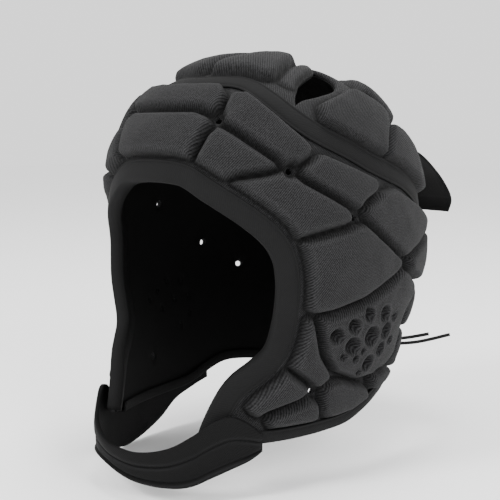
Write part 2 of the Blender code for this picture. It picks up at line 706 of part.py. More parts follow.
def build_lace():
    """The back lace, its knot and its two free ends."""
    over = LACE_DIAMETER / 2 + 0.0008
    over_binding = BINDING_CLEAR + BINDING_THICK + LACE_DIAMETER / 2 + 0.0009
    under = -SEAT - over
    hole_low, hole_high = (to_side(LACE_HOLE_ANGLE, level) for level in (LACE_LEVEL_LOW, LACE_LEVEL_HIGH))
    knot = place(from_side, *to_side(180, LACE_LEVEL_LOW), over_binding + KNOT_RADIUS * 0.5)
    knot.x = 0.0
    left = [knot + Vector((KNOT_RADIUS + GAP + step, 0, 0)) for step in (0.0, 0.0014)]
    left += [place(from_side, *to_side(angle, LACE_LEVEL_LOW), over_binding) for angle in (176, 174)]
    left += [place(from_side, *hole_low, lift) for lift in (over, 0.0, -SEAT * 0.8)]
    for k in range(5):
        left.append(place(from_side, hole_low[0], hole_low[1] + (hole_high[1] - hole_low[1]) * k / 4, under))
    left += [place(from_side, *hole_high, lift) for lift in (-SEAT * 0.8, 0.0, over)]
    left += [place(from_side, *to_side(angle, LACE_LEVEL_HIGH), over_binding) for angle in (174, 177)]
    middle = place(from_side, *to_side(180, LACE_LEVEL_HIGH), over_binding)
    middle.x = 0.0
    points = left + [middle] + [Vector((-p.x, p.y, p.z)) for p in reversed(left)]
    tube("back_lace", points, "cord")
    mesh = bpy.data.meshes.new("lace_knot")
    bm = bmesh.new()
    bmesh.ops.create_uvsphere(bm, u_segments=10, v_segments=6, radius=KNOT_RADIUS)
    bm.to_mesh(mesh)
    bm.free()
    mesh.materials.append(material("cord"))
    ball = bpy.data.objects.new("lace_knot", mesh)
    ball.location = knot
    bpy.context.scene.collection.objects.link(ball)
    for name, table in (("lace_end_upper", LACE_END_UPPER), ("lace_end_lower", LACE_END_LOWER)):
        first = Vector(table[0])
        clear = first.normalized() * (KNOT_RADIUS + GAP)
        spots = [tuple(clear)] + table[1:]
        tube(name, [knot + Vector(p) for p in curve_through(spots, 0.0045)], "cord")


def main():
    for old in list(bpy.data.objects):
        bpy.data.objects.remove(old)
    build_side()
    build_crown()
    build_strap()
    build_tongue()
    build_lace()


main()
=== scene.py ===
# %% [markdown]
# # Flag football helmet
# The real thing is a soft head guard: ribbed cloth sewn over moulded foam pads, black tape on its seams
# and edges, a strap under the chin, a cloth tab behind the crown and a lace at the nape. It could be
# draped over a modelled head, but no head is shown, so it is built as a shell that keeps its shape by
# itself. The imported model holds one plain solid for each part, at its real size and place. It is loaded
# first, as a fixed frame. Each finished piece then stands for its own solid, so nothing has to be scaled
# or fitted later.

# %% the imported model
import math

import bmesh
import bpy
import numpy as np
from mathutils import Matrix, Vector, geometry, noise


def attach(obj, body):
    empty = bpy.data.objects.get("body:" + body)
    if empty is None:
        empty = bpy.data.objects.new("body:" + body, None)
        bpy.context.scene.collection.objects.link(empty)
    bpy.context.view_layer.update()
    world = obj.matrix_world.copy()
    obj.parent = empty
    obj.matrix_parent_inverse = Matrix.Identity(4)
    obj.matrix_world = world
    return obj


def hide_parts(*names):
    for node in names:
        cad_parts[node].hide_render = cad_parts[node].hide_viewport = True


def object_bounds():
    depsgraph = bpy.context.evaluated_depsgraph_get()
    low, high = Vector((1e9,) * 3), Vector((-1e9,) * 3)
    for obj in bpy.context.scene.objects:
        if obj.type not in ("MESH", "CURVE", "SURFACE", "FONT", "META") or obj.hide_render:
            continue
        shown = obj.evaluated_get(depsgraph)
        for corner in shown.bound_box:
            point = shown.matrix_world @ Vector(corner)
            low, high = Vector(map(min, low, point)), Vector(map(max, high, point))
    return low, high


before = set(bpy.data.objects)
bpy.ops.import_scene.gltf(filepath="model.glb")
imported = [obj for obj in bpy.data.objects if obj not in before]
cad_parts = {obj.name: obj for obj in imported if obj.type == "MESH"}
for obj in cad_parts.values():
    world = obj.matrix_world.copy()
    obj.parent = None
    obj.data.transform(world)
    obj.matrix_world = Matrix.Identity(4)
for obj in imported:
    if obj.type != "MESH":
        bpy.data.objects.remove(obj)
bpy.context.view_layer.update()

# %% [markdown]
# ## Main sizes
# The shell follows a head: narrow at the crown, widest above the ears and drawn in at the neck. It could
# be sculpted by hand, but a sculpt is hard to measure and to change. A short table of sections is used
# instead: each row says how far down a level lies, and how far the cloth stands out to the side, the front
# and the back. Lengths are in metres. Angles go round the head in degrees, 0 at the front and 90 at the
# wearer's left. Levels go from 0 at the top of the crown through 1 at the brow to 2.2 at the jaw.

# %% main sizes
HALF_WIDTH, FRONT, BACK, DROP = 0.0865, 0.108, 0.106, 0.250
SHELL_THICK, LINING_THICK, GAP = 0.003, 0.001, 0.0003
SEAT = SHELL_THICK + GAP + LINING_THICK
LEVEL_LENGTH, DEGREES_PER_LEVEL = 0.120, 75.0

# level, share of DROP, share of HALF_WIDTH, share of FRONT, share of BACK, squareness
SECTIONS = [
    (0.00, 0.000, 0.000, 0.000, 0.000, 2.00), (0.25, 0.020, 0.393, 0.385, 0.315, 2.00),
    (0.50, 0.084, 0.694, 0.700, 0.530, 2.10), (0.75, 0.180, 0.855, 0.870, 0.850, 2.15),
    (1.00, 0.292, 0.948, 0.944, 0.990, 2.20), (1.25, 0.412, 0.994, 0.972, 1.000, 2.20),
    (1.50, 0.532, 1.000, 1.000, 0.896, 2.20), (1.75, 0.652, 0.919, 1.000, 0.755, 2.20),
    (2.00, 0.772, 0.844, 1.037, 0.670, 2.20), (2.25, 0.892, 0.798, 1.093, 0.640, 2.30),
    (2.50, 1.000, 0.740, 1.120, 0.640, 2.40),
]
print(len(SECTIONS), "sections over", DROP, "m")

# %% [markdown]
# ## The surface of the cloth
# Under all the pads the cloth is one smooth surface. A cage with a Subdivision Surface modifier could give
# it, but a place on such a cage has no address. Here every place is worked out from an angle and a level,
# through smooth curves of the table, so pads, holes, seams and bindings are all placed with the same two
# numbers.

# %% the surface


def smooth(rows, column, at):
    """A value of a table, read through a smooth curve of its first column."""
    last = len(rows) - 1
    at = min(max(at, rows[0][0]), rows[last][0])
    i = next(k for k in range(last) if at <= rows[k + 1][0])

    def slope(k):
        a, b = max(k - 1, 0), min(k + 1, last)
        return (rows[b][column] - rows[a][column]) / (rows[b][0] - rows[a][0])

    step = rows[i + 1][0] - rows[i][0]
    s = (at - rows[i][0]) / step
    a, b = rows[i][column], rows[i + 1][column]
    return ((2 * s**3 - 3 * s**2 + 1) * a + (s**3 - 2 * s**2 + s) * slope(i) * step
            + (-2 * s**3 + 3 * s**2) * b + (s**3 - s**2) * slope(i + 1) * step)


LEVELS = np.linspace(0, 2.5, 2501)
CURVES = [np.array([smooth(SECTIONS, k, t) for t in LEVELS]) for k in range(1, 6)]
TOP_LEVEL = SECTIONS[1][0]


def base(angle, level):
    """Points on the outside of the base cloth."""
    level = np.maximum(level, 1e-4)
    drop, wide, front, back, square = (np.interp(level, LEVELS, c) for c in CURVES)
    drop = np.where(level > TOP_LEVEL, drop, SECTIONS[1][1] * (level / TOP_LEVEL) ** 2)
    turn = np.radians(angle)
    across, along = np.sin(turn), np.cos(turn)
    reach = np.where(along > 0, FRONT * front, BACK * back)
    r = (np.abs(across / (HALF_WIDTH * wide)) ** square + np.abs(along / reach) ** square) ** (-1 / square)
    return np.stack([r * across, -r * along, SEAT - DROP * drop], -1)


print("cloth at the left ear", np.round(base(82.5, 1.74), 4).tolist(), "m")

# %% [markdown]
# ## Charts
# Pads and outlines are drawn flat, as on a sewing pattern, and then laid on the surface. The side panel is
# drawn unrolled and the crown as seen from above, because that bends each of them least. A Shrinkwrap
# modifier could press a flat mesh onto a form too, but points slide while it works, and here each one
# stays at its address. A chart also tells which way is out, and so where a pad rises to.

# %% charts


def from_side(p):
    """Angle and level of places in the side panel's chart."""
    return p[:, 0] * DEGREES_PER_LEVEL, p[:, 1]


def from_crown(p):
    """Angle and level of places in the crown's chart."""
    return np.degrees(np.arctan2(p[:, 0], -p[:, 1])), np.hypot(p[:, 0], p[:, 1])


def to_side(angle, level):
    """A place in the side panel's chart, from an angle and a level."""
    return angle / DEGREES_PER_LEVEL, level


def to_crown(angle, level):
    """A place in the crown's chart, from an angle and a level."""
    turn = math.radians(angle)
    return level * math.sin(turn), -level * math.cos(turn)


CHART_STEP = 0.004


def stand(chart, p):
    """Points on the base cloth at places in a chart, and the way out of the cloth there."""
    p = np.asarray(p, float).reshape(-1, 2)
    step = np.array([CHART_STEP, 0.0])
    point = base(*chart(p))
    across = base(*chart(p + step)) - base(*chart(p - step))
    down = base(*chart(p + step[::-1])) - base(*chart(p - step[::-1]))
    out = np.cross(across, down)
    out /= np.linalg.norm(out, axis=1, keepdims=True)
    inward = ((point - [0, 0, SEAT - DROP * 0.5]) * out).sum(1) < 0
    out[inward] *= -1
    return point, out


def place(chart, p, lift=0.0):
    """Points that stand a lift above the base cloth."""
    point, out = stand(chart, p)
    return point + out * np.reshape(lift, (-1, 1))


print("crown top", [round(float(x), 4) for x in place(from_crown, [(0.001, 0.001)])[0]])

# %% [markdown]
# ## Camera
# The photograph was taken from in front of the wearer's left, a little above the middle of the object,
# with a long lens. A camera could be aimed with a Track To constraint, but its place is only two angles
# and a distance, so they are turned into a matrix here. Angles, lens and distance were found by matching
# the outline, the seams and the holes of the photograph. The small shift puts the object where the
# photograph has it.

# %% camera
AZIMUTH, ELEVATION, LENS, SENSOR_WIDTH, DISTANCE = 41.0, 7.0, 73.08, 36, 0.655
SHIFT_PIXELS, PHOTO_PIXELS = -17, 500
TARGET = Vector((0.0, 0.0, -0.1137))
turn, rise = math.radians(AZIMUTH), math.radians(ELEVATION)
backward = Vector((math.sin(turn) * math.cos(rise), -math.cos(turn) * math.cos(rise), math.sin(rise)))
right = Vector((math.cos(turn), math.sin(turn), 0))
upward = backward.cross(right)
camera_data = bpy.data.cameras.new("camera")
camera_data.lens = LENS
camera_data.sensor_width = SENSOR_WIDTH
camera_data.shift_x = SHIFT_PIXELS / PHOTO_PIXELS
camera = bpy.data.objects.new("camera", camera_data)
frame_of_camera = Matrix((right, upward, backward)).transposed().to_4x4()
camera.matrix_world = Matrix.Translation(TARGET + backward * DISTANCE) @ frame_of_camera
bpy.context.scene.collection.objects.link(camera)
bpy.context.scene.camera = camera
print("camera", round(DISTANCE, 3), "m away")

# %% [markdown]
# ## Materials
# The object has four cloths and a cord, all near black: ribbed cloth on the pads, tape, strap cloth,
# lining and braided lace. They could be painted as images, but an image blurs close up and stretches over
# the pads. Patterns made of nodes stay sharp at any size. Each material keeps its own Principled shader,
# with its plain numbers set on the shader's sockets, and small helpers below add and link the nodes.

# %% node helpers
SHEEN_ROUGHNESS, CLOTH_SPECULAR = 0.5, 0.13


def new_material(name, rough, sheen=0.0):
    """A material, its node tree and its Principled shader."""
    made = bpy.data.materials.new(name)
    made.use_nodes = True
    nodes = made.node_tree.nodes
    shader = nodes["Principled BSDF"]
    shader.inputs["Roughness"].default_value = rough
    shader.inputs["Sheen Weight"].default_value = sheen
    shader.inputs["Sheen Roughness"].default_value = SHEEN_ROUGHNESS
    shader.inputs["Specular IOR Level"].default_value = CLOTH_SPECULAR
    return made, made.node_tree, shader


def node(tree, kind, **values):
    """A new node, with values for its sockets or settings."""
    made = tree.nodes.new(kind)
    for key, value in values.items():
        if key in made.inputs:
            made.inputs[key].default_value = value
        else:
            setattr(made, key, value)
    return made


def sums(tree, operation, a, b=None, c=None):
    """The result of a Math node on sockets or plain numbers."""
    made = tree.nodes.new("ShaderNodeMath")
    made.operation = operation
    for socket, value in zip(made.inputs, (a, b, c)):
        if value is None:
            continue
        if isinstance(value, (int, float)):
            socket.default_value = value
        else:
            tree.links.new(value, socket)
    return made.outputs[0]


def mixed(tree, amount, a, b):
    """The result of a Mix node between two colours."""
    made = tree.nodes.new("ShaderNodeMix")
    made.data_type = "RGBA"
    for socket, value in ((made.inputs[0], amount), (made.inputs[6], a), (made.inputs[7], b)):
        if isinstance(value, (int, float, tuple)):
            socket.default_value = value
        else:
            tree.links.new(value, socket)
    return made.outputs[2]


print("helpers for material nodes ready")

# %% [markdown]
# ## Weave
# Seen close, the cloth has fine slanting ribs with a thinner thread across them, and slow changes of tone.
# Wave textures could draw the ribs, but two sines of the distance along the cloth give their pitch in
# metres. All the cloths use the same weave, so it is a node group, built once, that puts out two masks.

# %% weave
RIB_PITCH, THREAD_PITCH, RIB_SLANT, THREAD_SHARE = 0.0013, 0.0009, 0.82, 0.35
WEAVE_CONTRAST, PATCH_SCALE = 0.36, 70.0


def weave_group():
    """Diagonal ribs crossed by a fine thread, with slow colour change; places are in metres."""
    group = bpy.data.node_groups.new("weave", "ShaderNodeTree")
    group.interface.new_socket("Place", in_out="INPUT", socket_type="NodeSocketVector")
    for name in ("Ribs", "Patches"):
        group.interface.new_socket(name, in_out="OUTPUT", socket_type="NodeSocketFloat")
    entry, leave = group.nodes.new("NodeGroupInput"), group.nodes.new("NodeGroupOutput")
    parts = group.nodes.new("ShaderNodeSeparateXYZ")
    group.links.new(entry.outputs[0], parts.inputs[0])
    x, y = parts.outputs[0], parts.outputs[1]
    slant = sums(group, "MULTIPLY_ADD", y, RIB_SLANT, x)
    ribs = sums(group, "SINE", sums(group, "MULTIPLY", slant, math.tau / RIB_PITCH))
    across = sums(group, "SUBTRACT", y, x)
    thread = sums(group, "SINE", sums(group, "MULTIPLY", across, math.tau / THREAD_PITCH))
    both = sums(group, "MULTIPLY_ADD", thread, THREAD_SHARE, ribs)
    group.links.new(sums(group, "MULTIPLY_ADD", both, WEAVE_CONTRAST, 0.5), leave.inputs[0])
    cloud = node(group, "ShaderNodeTexNoise", Scale=PATCH_SCALE, Detail=4.0, Roughness=0.6)
    group.links.new(entry.outputs[0], cloud.inputs["Vector"])
    group.links.new(cloud.outputs[0], leave.inputs[1])
    return group


WEAVE = weave_group()
print("weave group with", len(WEAVE.nodes), "nodes")

# %% [markdown]
# ## Cloth
# On the real pads the ribs catch the light, the folds between pads fall into shade that is almost black,
# and the rims of the pads catch the light and look paler. Ambient occlusion nodes could darken the folds,
# but the exported model would lose them. So each mesh carries two marks, known when its shape was made: one
# for painted shade, near black in the creases, and one for a painted highlight on the rims. The colour reads
# them, and the weave also drives a bump, because ribs this fine are too small to model.

# %% cloth
SPECK_SCALE, RIB_HEIGHT, RIB_SHARE, PATCH_SHARE, PATCH_START = 1100.0, 0.0003, 0.8, 0.5, -0.08
# PATCH_TONE darkens random patches; the other tone is a painted highlight on the rims, paler than the ribs
PATCH_TONE, RIM_HIGHLIGHT_TONE = 0.55, 1.6
# painted shade in the creases: the near-black colour, and how far it is mixed in
CREASE_SHADE_COLOUR, CREASE_SHADE_SHARE = (0.0015, 0.0015, 0.0015, 1), 0.93


def toned(colour, share):
    """A colour made darker or paler."""
    return tuple(c * share for c in colour[:3]) + (1,)


# edge sets how much painted highlight goes on the rims
def cloth_look(name, dark, pale, rough, bump, grain, sheen=0.0, edge=0.10, marked=True):
    """A cloth with ribs; its marks paint shade into its creases and a highlight onto its rims."""
    made, tree, shader = new_material(name, rough, sheen)
    places = node(tree, "ShaderNodeUVMap", uv_map="places")
    weave = node(tree, "ShaderNodeGroup", node_tree=WEAVE)
    tree.links.new(places.outputs[0], weave.inputs[0])
    ribs, patches = weave.outputs[0], weave.outputs[1]
    speck = node(tree, "ShaderNodeTexNoise", Scale=SPECK_SCALE, Detail=2.0, Roughness=0.7)
    tree.links.new(places.outputs[0], speck.inputs["Vector"])
    knit = sums(tree, "MULTIPLY", sums(tree, "SUBTRACT", speck.outputs[0], 0.5), grain * 6)
    amount = node(tree, "ShaderNodeClamp")
    tree.links.new(sums(tree, "ADD", sums(tree, "MULTIPLY", ribs, RIB_SHARE), knit), amount.inputs[0])
    tone = mixed(tree, amount.outputs[0], dark, pale)
    uneven = sums(tree, "MULTIPLY_ADD", patches, PATCH_SHARE, PATCH_START)
    tone = mixed(tree, uneven, tone, toned(dark, PATCH_TONE))
    if marked:
        crease_shade = node(tree, "ShaderNodeAttribute", attribute_name="crease_shade").outputs["Fac"]
        rim_highlight = node(tree, "ShaderNodeAttribute", attribute_name="rim_highlight").outputs["Fac"]
        # painted highlight on the rims
        tone = mixed(tree, sums(tree, "MULTIPLY", rim_highlight, edge), tone, toned(pale, RIM_HIGHLIGHT_TONE))
        # painted shade in the creases, towards near black
        tone = mixed(tree, sums(tree, "MULTIPLY", crease_shade, CREASE_SHADE_SHARE), tone, CREASE_SHADE_COLOUR)
    tree.links.new(tone, shader.inputs["Base Color"])
    relief = node(tree, "ShaderNodeBump", Strength=bump, Distance=RIB_HEIGHT)
    tree.links.new(ribs, relief.inputs["Height"])
    tree.links.new(relief.outputs[0], shader.inputs["Normal"])
    return made


CLOTH = cloth_look("ribbed cloth", (0.0020, 0.0020, 0.0022, 1), (0.0360, 0.0360, 0.0372, 1),
                   rough=0.88, bump=1.0, grain=0.30, sheen=0.02)
TAPE = cloth_look("black tape", (0.0038, 0.0038, 0.0038, 1), (0.0086, 0.0086, 0.0090, 1),
                  rough=0.80, bump=0.35, grain=0.12)
# the strap takes the whole painted highlight beside its seams
STRAP = cloth_look("strap cloth", (0.0012, 0.0012, 0.0012, 1), (0.0036, 0.0036, 0.0038, 1),
                   rough=0.78, bump=0.5, grain=0.12, edge=1.0)
LINING = cloth_look("lining cloth", (0.0022, 0.0022, 0.0022, 1), (0.004, 0.004, 0.004, 1),
                    rough=0.95, bump=0.30, grain=0.25, marked=False)
print("cloths", [m.name for m in (CLOTH, TAPE, STRAP, LINING)])

# %% [markdown]
# ## Cord
# The lace is a thin black braid. Its strands could be modelled one by one, but they are under half a
# millimetre wide. A fine cell pattern on the piece's own coordinates gives the same broken light.

# %% cord
BRAID_SCALE, BRAID_HEIGHT = 1500.0, 0.0003
BRAID_PALE, BRAID_DARK = (0.005, 0.005, 0.005, 1), (0.0015, 0.0015, 0.0015, 1)


def cord_look():
    """A braided cord: crossing threads over its own coordinates."""
    made, tree, shader = new_material("braided cord", 0.75, 0.2)
    own = node(tree, "ShaderNodeTexCoord")
    braid = node(tree, "ShaderNodeTexVoronoi", Scale=BRAID_SCALE)
    tree.links.new(own.outputs["Object"], braid.inputs["Vector"])
    tone = mixed(tree, braid.outputs["Distance"], BRAID_PALE, BRAID_DARK)
    tree.links.new(tone, shader.inputs["Base Color"])
    relief = node(tree, "ShaderNodeBump", Strength=0.5, Distance=BRAID_HEIGHT)
    tree.links.new(braid.outputs["Distance"], relief.inputs["Height"])
    tree.links.new(relief.outputs[0], shader.inputs["Normal"])
    return made


CORD = cord_look()
print("material", CORD.name)

# %% [markdown]
# ## Outlines
# The helmet is cut from two panels. The side panel goes round forehead, ears and nape, and is split at the
# back. The crown panel closes the top, and two leaf-shaped vents open it. Curve objects could hold the
# outlines, but they would have to be turned into chart places anyway. A few points, chosen where an edge
# turns in the photograph, are joined by smooth curves instead. The right side is the left one mirrored.

# %% lines in a chart


def curve_through(points, spacing):
    """Points about a spacing apart on a smooth curve through some points."""
    p = np.array(points, float)
    p = np.vstack([p[:1], p, p[-1:]])
    fine = []
    for a, b, c, d in zip(p, p[1:], p[2:], p[3:]):
        s = (np.arange(12) / 12)[:, None]
        square, cube = 2 * a - 5 * b + 4 * c - d, 3 * b - a - 3 * c + d
        fine.append(0.5 * (2 * b + (c - a) * s + square * s**2 + cube * s**3))
    fine = np.vstack(fine + [p[-1:]])
    length = np.concatenate([[0], np.cumsum(np.linalg.norm(np.diff(fine, axis=0), axis=1))])
    want = np.linspace(0, length[-1], max(2, round(length[-1] / spacing)) + 1)
    return np.stack([np.interp(want, length, fine[:, k]) for k in range(fine.shape[1])], -1)


def mirrored(points):
    """A line on the other side of the head; its order is turned too."""
    return np.asarray(points)[::-1] * [-1, 1]


def shifted(path, distance):
    """A line moved sideways in its chart."""
    path = np.asarray(path)
    before, after = np.vstack([path[:1], path[:-1]]), np.vstack([path[1:], path[-1:]])
    way = after - before
    way /= np.linalg.norm(way, axis=1, keepdims=True)
    return path + np.stack([-way[:, 1], way[:, 0]], -1) * distance


print("line helpers ready")

# %% seam and free edges
LINE_SPACING = 0.0025 / LEVEL_LENGTH

# the middle of the seam tape, the free edge of the face opening and the lower edge: angle, level
TAPE_LINE = [
    (0, 0.405), (18, 0.405), (27, 0.418), (34, 0.455), (42, 0.535), (50, 0.625), (58, 0.700), (66, 0.755),
    (77, 0.815), (89, 0.880), (102, 0.935), (114, 0.985), (126, 1.060), (138, 1.145), (160, 1.200),
    (180, 1.210),
]
FACE_LINE = [
    (0, 0.970), (6, 0.973), (13, 0.990), (20, 1.050), (31, 1.150), (39, 1.240), (43, 1.320),
    (44.3, 1.410), (44.3, 1.510), (43.3, 1.630), (41, 1.740), (36, 1.805), (30, 1.865),
    (26, 1.930), (23, 2.010), (21, 2.080), (20, 2.130),
]
NECK_LINE = [
    (23.5, 2.160), (32, 2.176), (47, 2.185), (67, 2.185), (83, 2.175), (96, 2.135), (110, 2.090),
    (122, 2.082), (140, 2.090), (162, 2.098), (178.5, 2.100),
]
tape = curve_through([to_side(*p) for p in TAPE_LINE], LINE_SPACING)
face = curve_through([to_side(*p) for p in FACE_LINE], LINE_SPACING)
neck = curve_through([to_side(*p) for p in NECK_LINE], LINE_SPACING)
print("seam, face edge and lower edge from", len(tape), len(face), len(neck), "points")

# %% side outline
SPLIT_HALF_ANGLE, SPLIT_CLEAR, SPLIT_TOP_CLEAR, SEAM_GAP = 1.5, 0.02, 0.003, 0.0006
BINDING_THICK, BINDING_CLEAR = 0.0011, 0.0008
split = (180 - SPLIT_HALF_ANGLE) / DEGREES_PER_LEVEL
side_top = shifted(tape, SEAM_GAP / 2 / LEVEL_LENGTH)
side_top = side_top[side_top[:, 0] < split - SPLIT_CLEAR]
back = curve_through([neck[-1], (split, side_top[-1, 1] + SPLIT_TOP_CLEAR)], LINE_SPACING)
face_edge = shifted(face, -(BINDING_CLEAR + BINDING_THICK) / LEVEL_LENGTH)
face_edge[0, 0] = 0.0
left = np.vstack([side_top[1:], back[:0:-1], neck[-2::-1], face_edge[:0:-1]])
side_boundary = np.vstack([[(0.0, side_top[0, 1])], left, face_edge[:1], mirrored(left)])
print("side panel outline", len(side_boundary), "points")

# %% [markdown]
# ## Holes
# Air holes go right through the foam between the pads, nine small ones pierce the ear pad, and the lace
# has four of its own. A Boolean modifier could cut them, but it leaves long thin faces round each hole
# that shade badly. Here each hole is one more outline of the panel, so the mesh grows round it.

# %% holes
VENT_HOLE_RADIUS, EAR_HOLE_RADIUS, LACE_HOLE_RADIUS = 0.0018, 0.0010, 0.0016
LACE_HOLE_ANGLE, LACE_LEVEL_LOW, LACE_LEVEL_HIGH = 171.0, 1.95, 1.80
VENT_HOLES = [(22.8, 0.658), (48.8, 0.918), (76.5, 1.150), (106, 1.402), (125, 1.548), (59.5, 1.985)]

# hollows of the ear pad, each round a hole, and dimples without one: angle, level, radius, depth
EAR_HOLLOWS = [
    (83.0, 1.712, 0.0064, 0.0060), (92.8, 1.700, 0.0054, 0.0060), (73.0, 1.745, 0.0056, 0.0060),
    (84.5, 1.858, 0.0054, 0.0060), (91.6, 1.795, 0.0045, 0.0056), (65.3, 1.685, 0.0048, 0.0054),
    (72.8, 1.645, 0.0044, 0.0054), (80.2, 1.600, 0.0040, 0.0054), (90.0, 1.612, 0.0048, 0.0056),
]
EAR_DIMPLES = [
    (75.8, 1.818, 0.0026, 0.0030), (79.0, 1.780, 0.0022, 0.0026), (80.0, 1.900, 0.0022, 0.0022),
    (97.5, 1.640, 0.0026, 0.0030), (98.5, 1.765, 0.0028, 0.0028), (69.5, 1.800, 0.0024, 0.0024),
]


def circle(u, v, size, sides=16):
    """A round outline."""
    turns = np.arange(sides) * math.tau / sides
    return np.stack([u + size * np.cos(turns), v + size * np.sin(turns)], -1)


lace_holes = [(LACE_HOLE_ANGLE, LACE_LEVEL_LOW), (LACE_HOLE_ANGLE, LACE_LEVEL_HIGH)]
side_holes = [circle(*to_side(*h), VENT_HOLE_RADIUS / LEVEL_LENGTH) for h in VENT_HOLES]
side_holes += [circle(*to_side(*h[:2]), EAR_HOLE_RADIUS / LEVEL_LENGTH, 12) for h in EAR_HOLLOWS]
side_holes += [circle(*to_side(*h), LACE_HOLE_RADIUS / LEVEL_LENGTH) for h in lace_holes]
side_holes += [mirrored(h) for h in side_holes]
print(len(side_holes), "holes")

# %% vents and crown outline
VENT_SPACING = 0.0016 / LEVEL_LENGTH

# front and rear edge of the left vent: angle, level
VENT_FRONT = [
    (54.5, 0.565), (55.5, 0.510), (58, 0.460), (61.5, 0.405), (75, 0.325), (95, 0.262), (115, 0.218),
]
VENT_REAR = [
    (115, 0.218), (111, 0.300), (103, 0.368), (92, 0.428), (82, 0.470), (69, 0.505), (59, 0.532),
    (54.5, 0.565),
]
crown_edge = shifted(tape, -SEAM_GAP / 2 / LEVEL_LENGTH)
crown_edge = np.array([to_crown(u * DEGREES_PER_LEVEL, v) for u, v in crown_edge])
crown_edge[0, 0] = crown_edge[-1, 0] = 0.0
crown_boundary = np.vstack([crown_edge, mirrored(crown_edge)[1:-1]])
vent = np.vstack([curve_through([to_crown(*p) for p in line], VENT_SPACING)[:-1]
                  for line in (VENT_FRONT, VENT_REAR)])
vents = [vent, mirrored(vent)]
print("crown panel outline", len(crown_boundary), "points, with", len(vents), "vents")

# %% [markdown]
# ## Depth inside a pad
# Each pad is a moulded block of foam with a groove round it. The pads could be extruded from faces and
# bevelled, but the grooves between them are narrower than the bevels, and the bevels would collide.
# Instead, every point of one fine cloth asks how deep it lies inside the nearest pad. Pads grow until a
# groove of one width parts them, and they keep away from tapes, bindings and holes.

# %% pad depth
PAD_GROWTH, GROOVE_HALF, PAD_NEAR = 0.0034, 0.0007, 0.016


def away(points, loop):
    """How far points are from a closed outline, negative inside it."""
    x, y = points[:, 0], points[:, 1]
    loop = np.asarray(loop)
    near, odd = np.full(len(points), 1e9), np.zeros(len(points), bool)
    for (x0, y0), (x1, y1) in zip(loop, np.roll(loop, -1, 0)):
        dx, dy = x1 - x0, y1 - y0
        s = np.clip(((x - x0) * dx + (y - y0) * dy) / max(dx * dx + dy * dy, 1e-18), 0, 1)
        near = np.minimum(near, (x - x0 - dx * s) ** 2 + (y - y0 - dy * s) ** 2)
        if y0 != y1:
            odd ^= ((y0 > y) != (y1 > y)) & (x < (x1 - x0) * (y - y0) / (y1 - y0) + x0)
    return np.where(odd, -1, 1) * np.sqrt(near)


def along_line(points, line):
    """How far points are from an open line."""
    near = np.full(len(points), 1e9)
    for (x0, y0), (x1, y1) in zip(line, line[1:]):
        dx, dy = x1 - x0, y1 - y0
        s = np.clip(((points[:, 0] - x0) * dx + (points[:, 1] - y0) * dy) / (dx * dx + dy * dy), 0, 1)
        near = np.minimum(near, (points[:, 0] - x0 - dx * s) ** 2 + (points[:, 1] - y0 - dy * s) ** 2)
    return np.sqrt(near)


def pad_depth(points, pads, keep_off):
    """How deep places lie inside the pads, which grow until a groove parts them, and how tall they are."""
    first, second = np.full(len(points), 0.1), np.full(len(points), 0.1)
    tall = np.ones(len(points))
    for pad, height in pads:
        low, high = pad.min(0) - PAD_NEAR, pad.max(0) + PAD_NEAR
        near = np.flatnonzero(np.all((points > low) & (points < high), axis=1))
        d = away(points[near], pad)
        nearer = d < first[near]
        second[near] = np.where(nearer, first[near], np.minimum(second[near], d))
        first[near] = np.where(nearer, d, first[near])
        tall[near] = np.where(nearer, height, tall[near])
    deep = np.minimum(PAD_GROWTH - first, (second - first) / 2 - GROOVE_HALF)
    for line, room in keep_off:
        deep = np.minimum(deep, along_line(points, line) - room)
    return deep, tall


print("grooves", round(GROOVE_HALF * 2, 4), "m wide")

# %% [markdown]
# ## Height of the foam
# A real pad rises steeply from its groove, turns over a soft shoulder and ends in a low dome. The ear pad
# also bulges and has round hollows. Cloth simulation could press the cloth into such a form, but it slips
# and wrinkles where the real cloth is glued tight. So the height is worked out from the depth inside the
# pad, with a little slow noise for the unevenness of hand-laid cloth. The same numbers give the marks for
# painted shade in the creases and a painted highlight on the rims.

# %% foam height
PAD_HEIGHT, PAD_SIDE, PAD_DOME, FLANK_POWER, DOME_REACH = 0.0072, 0.0040, 0.0016, 2.1, 0.007
CREASE_DEPTH, CREASE_WIDTH, CREASE_SHIFT, RIM_HIGHLIGHT_WIDTH = 0.0004, 0.0010, 0.0002, 0.0009
SWELL, SWELL_PITCH, RIPPLE, RIPPLE_PITCH = 0.00045, 0.011, 0.00016, 0.0045
EAR_BULGE_PLACE, EAR_BULGE_RADIUS, EAR_BULGE_HEIGHT = to_side(82.5, 1.735), 0.024, 0.0014
HOLLOW_LIP = 0.0004


def noise_at(points, pitch, seed=0.0):
    """Slow noise at places in metres."""
    return np.array([noise.noise(Vector((x / pitch, y / pitch, seed))) for x, y in points])


def hollowed(points, lift, crease_shade, rim_highlight, hollows):
    """Round hollows pressed in; the bare numbers are shares of a hollow's radius."""
    for u, v, size, depth in hollows:
        d = np.hypot(points[:, 0] - u, points[:, 1] - v) / size
        bowl = np.clip((1.12 - d) / 0.55, 0, 1)
        bowl = bowl * bowl * (3 - 2 * bowl)
        lift -= depth * bowl - HOLLOW_LIP * np.exp(-((d - 1.25) / 0.25) ** 2)
        # painted shade deep in each hollow and a painted highlight on its lip
        crease_shade = np.maximum(crease_shade, np.clip((0.72 - d) / 0.30, 0, 1))
        rim_highlight = np.maximum(rim_highlight, 0.8 * np.exp(-((d - 1.2) / 0.2) ** 2))
    return lift, crease_shade, rim_highlight


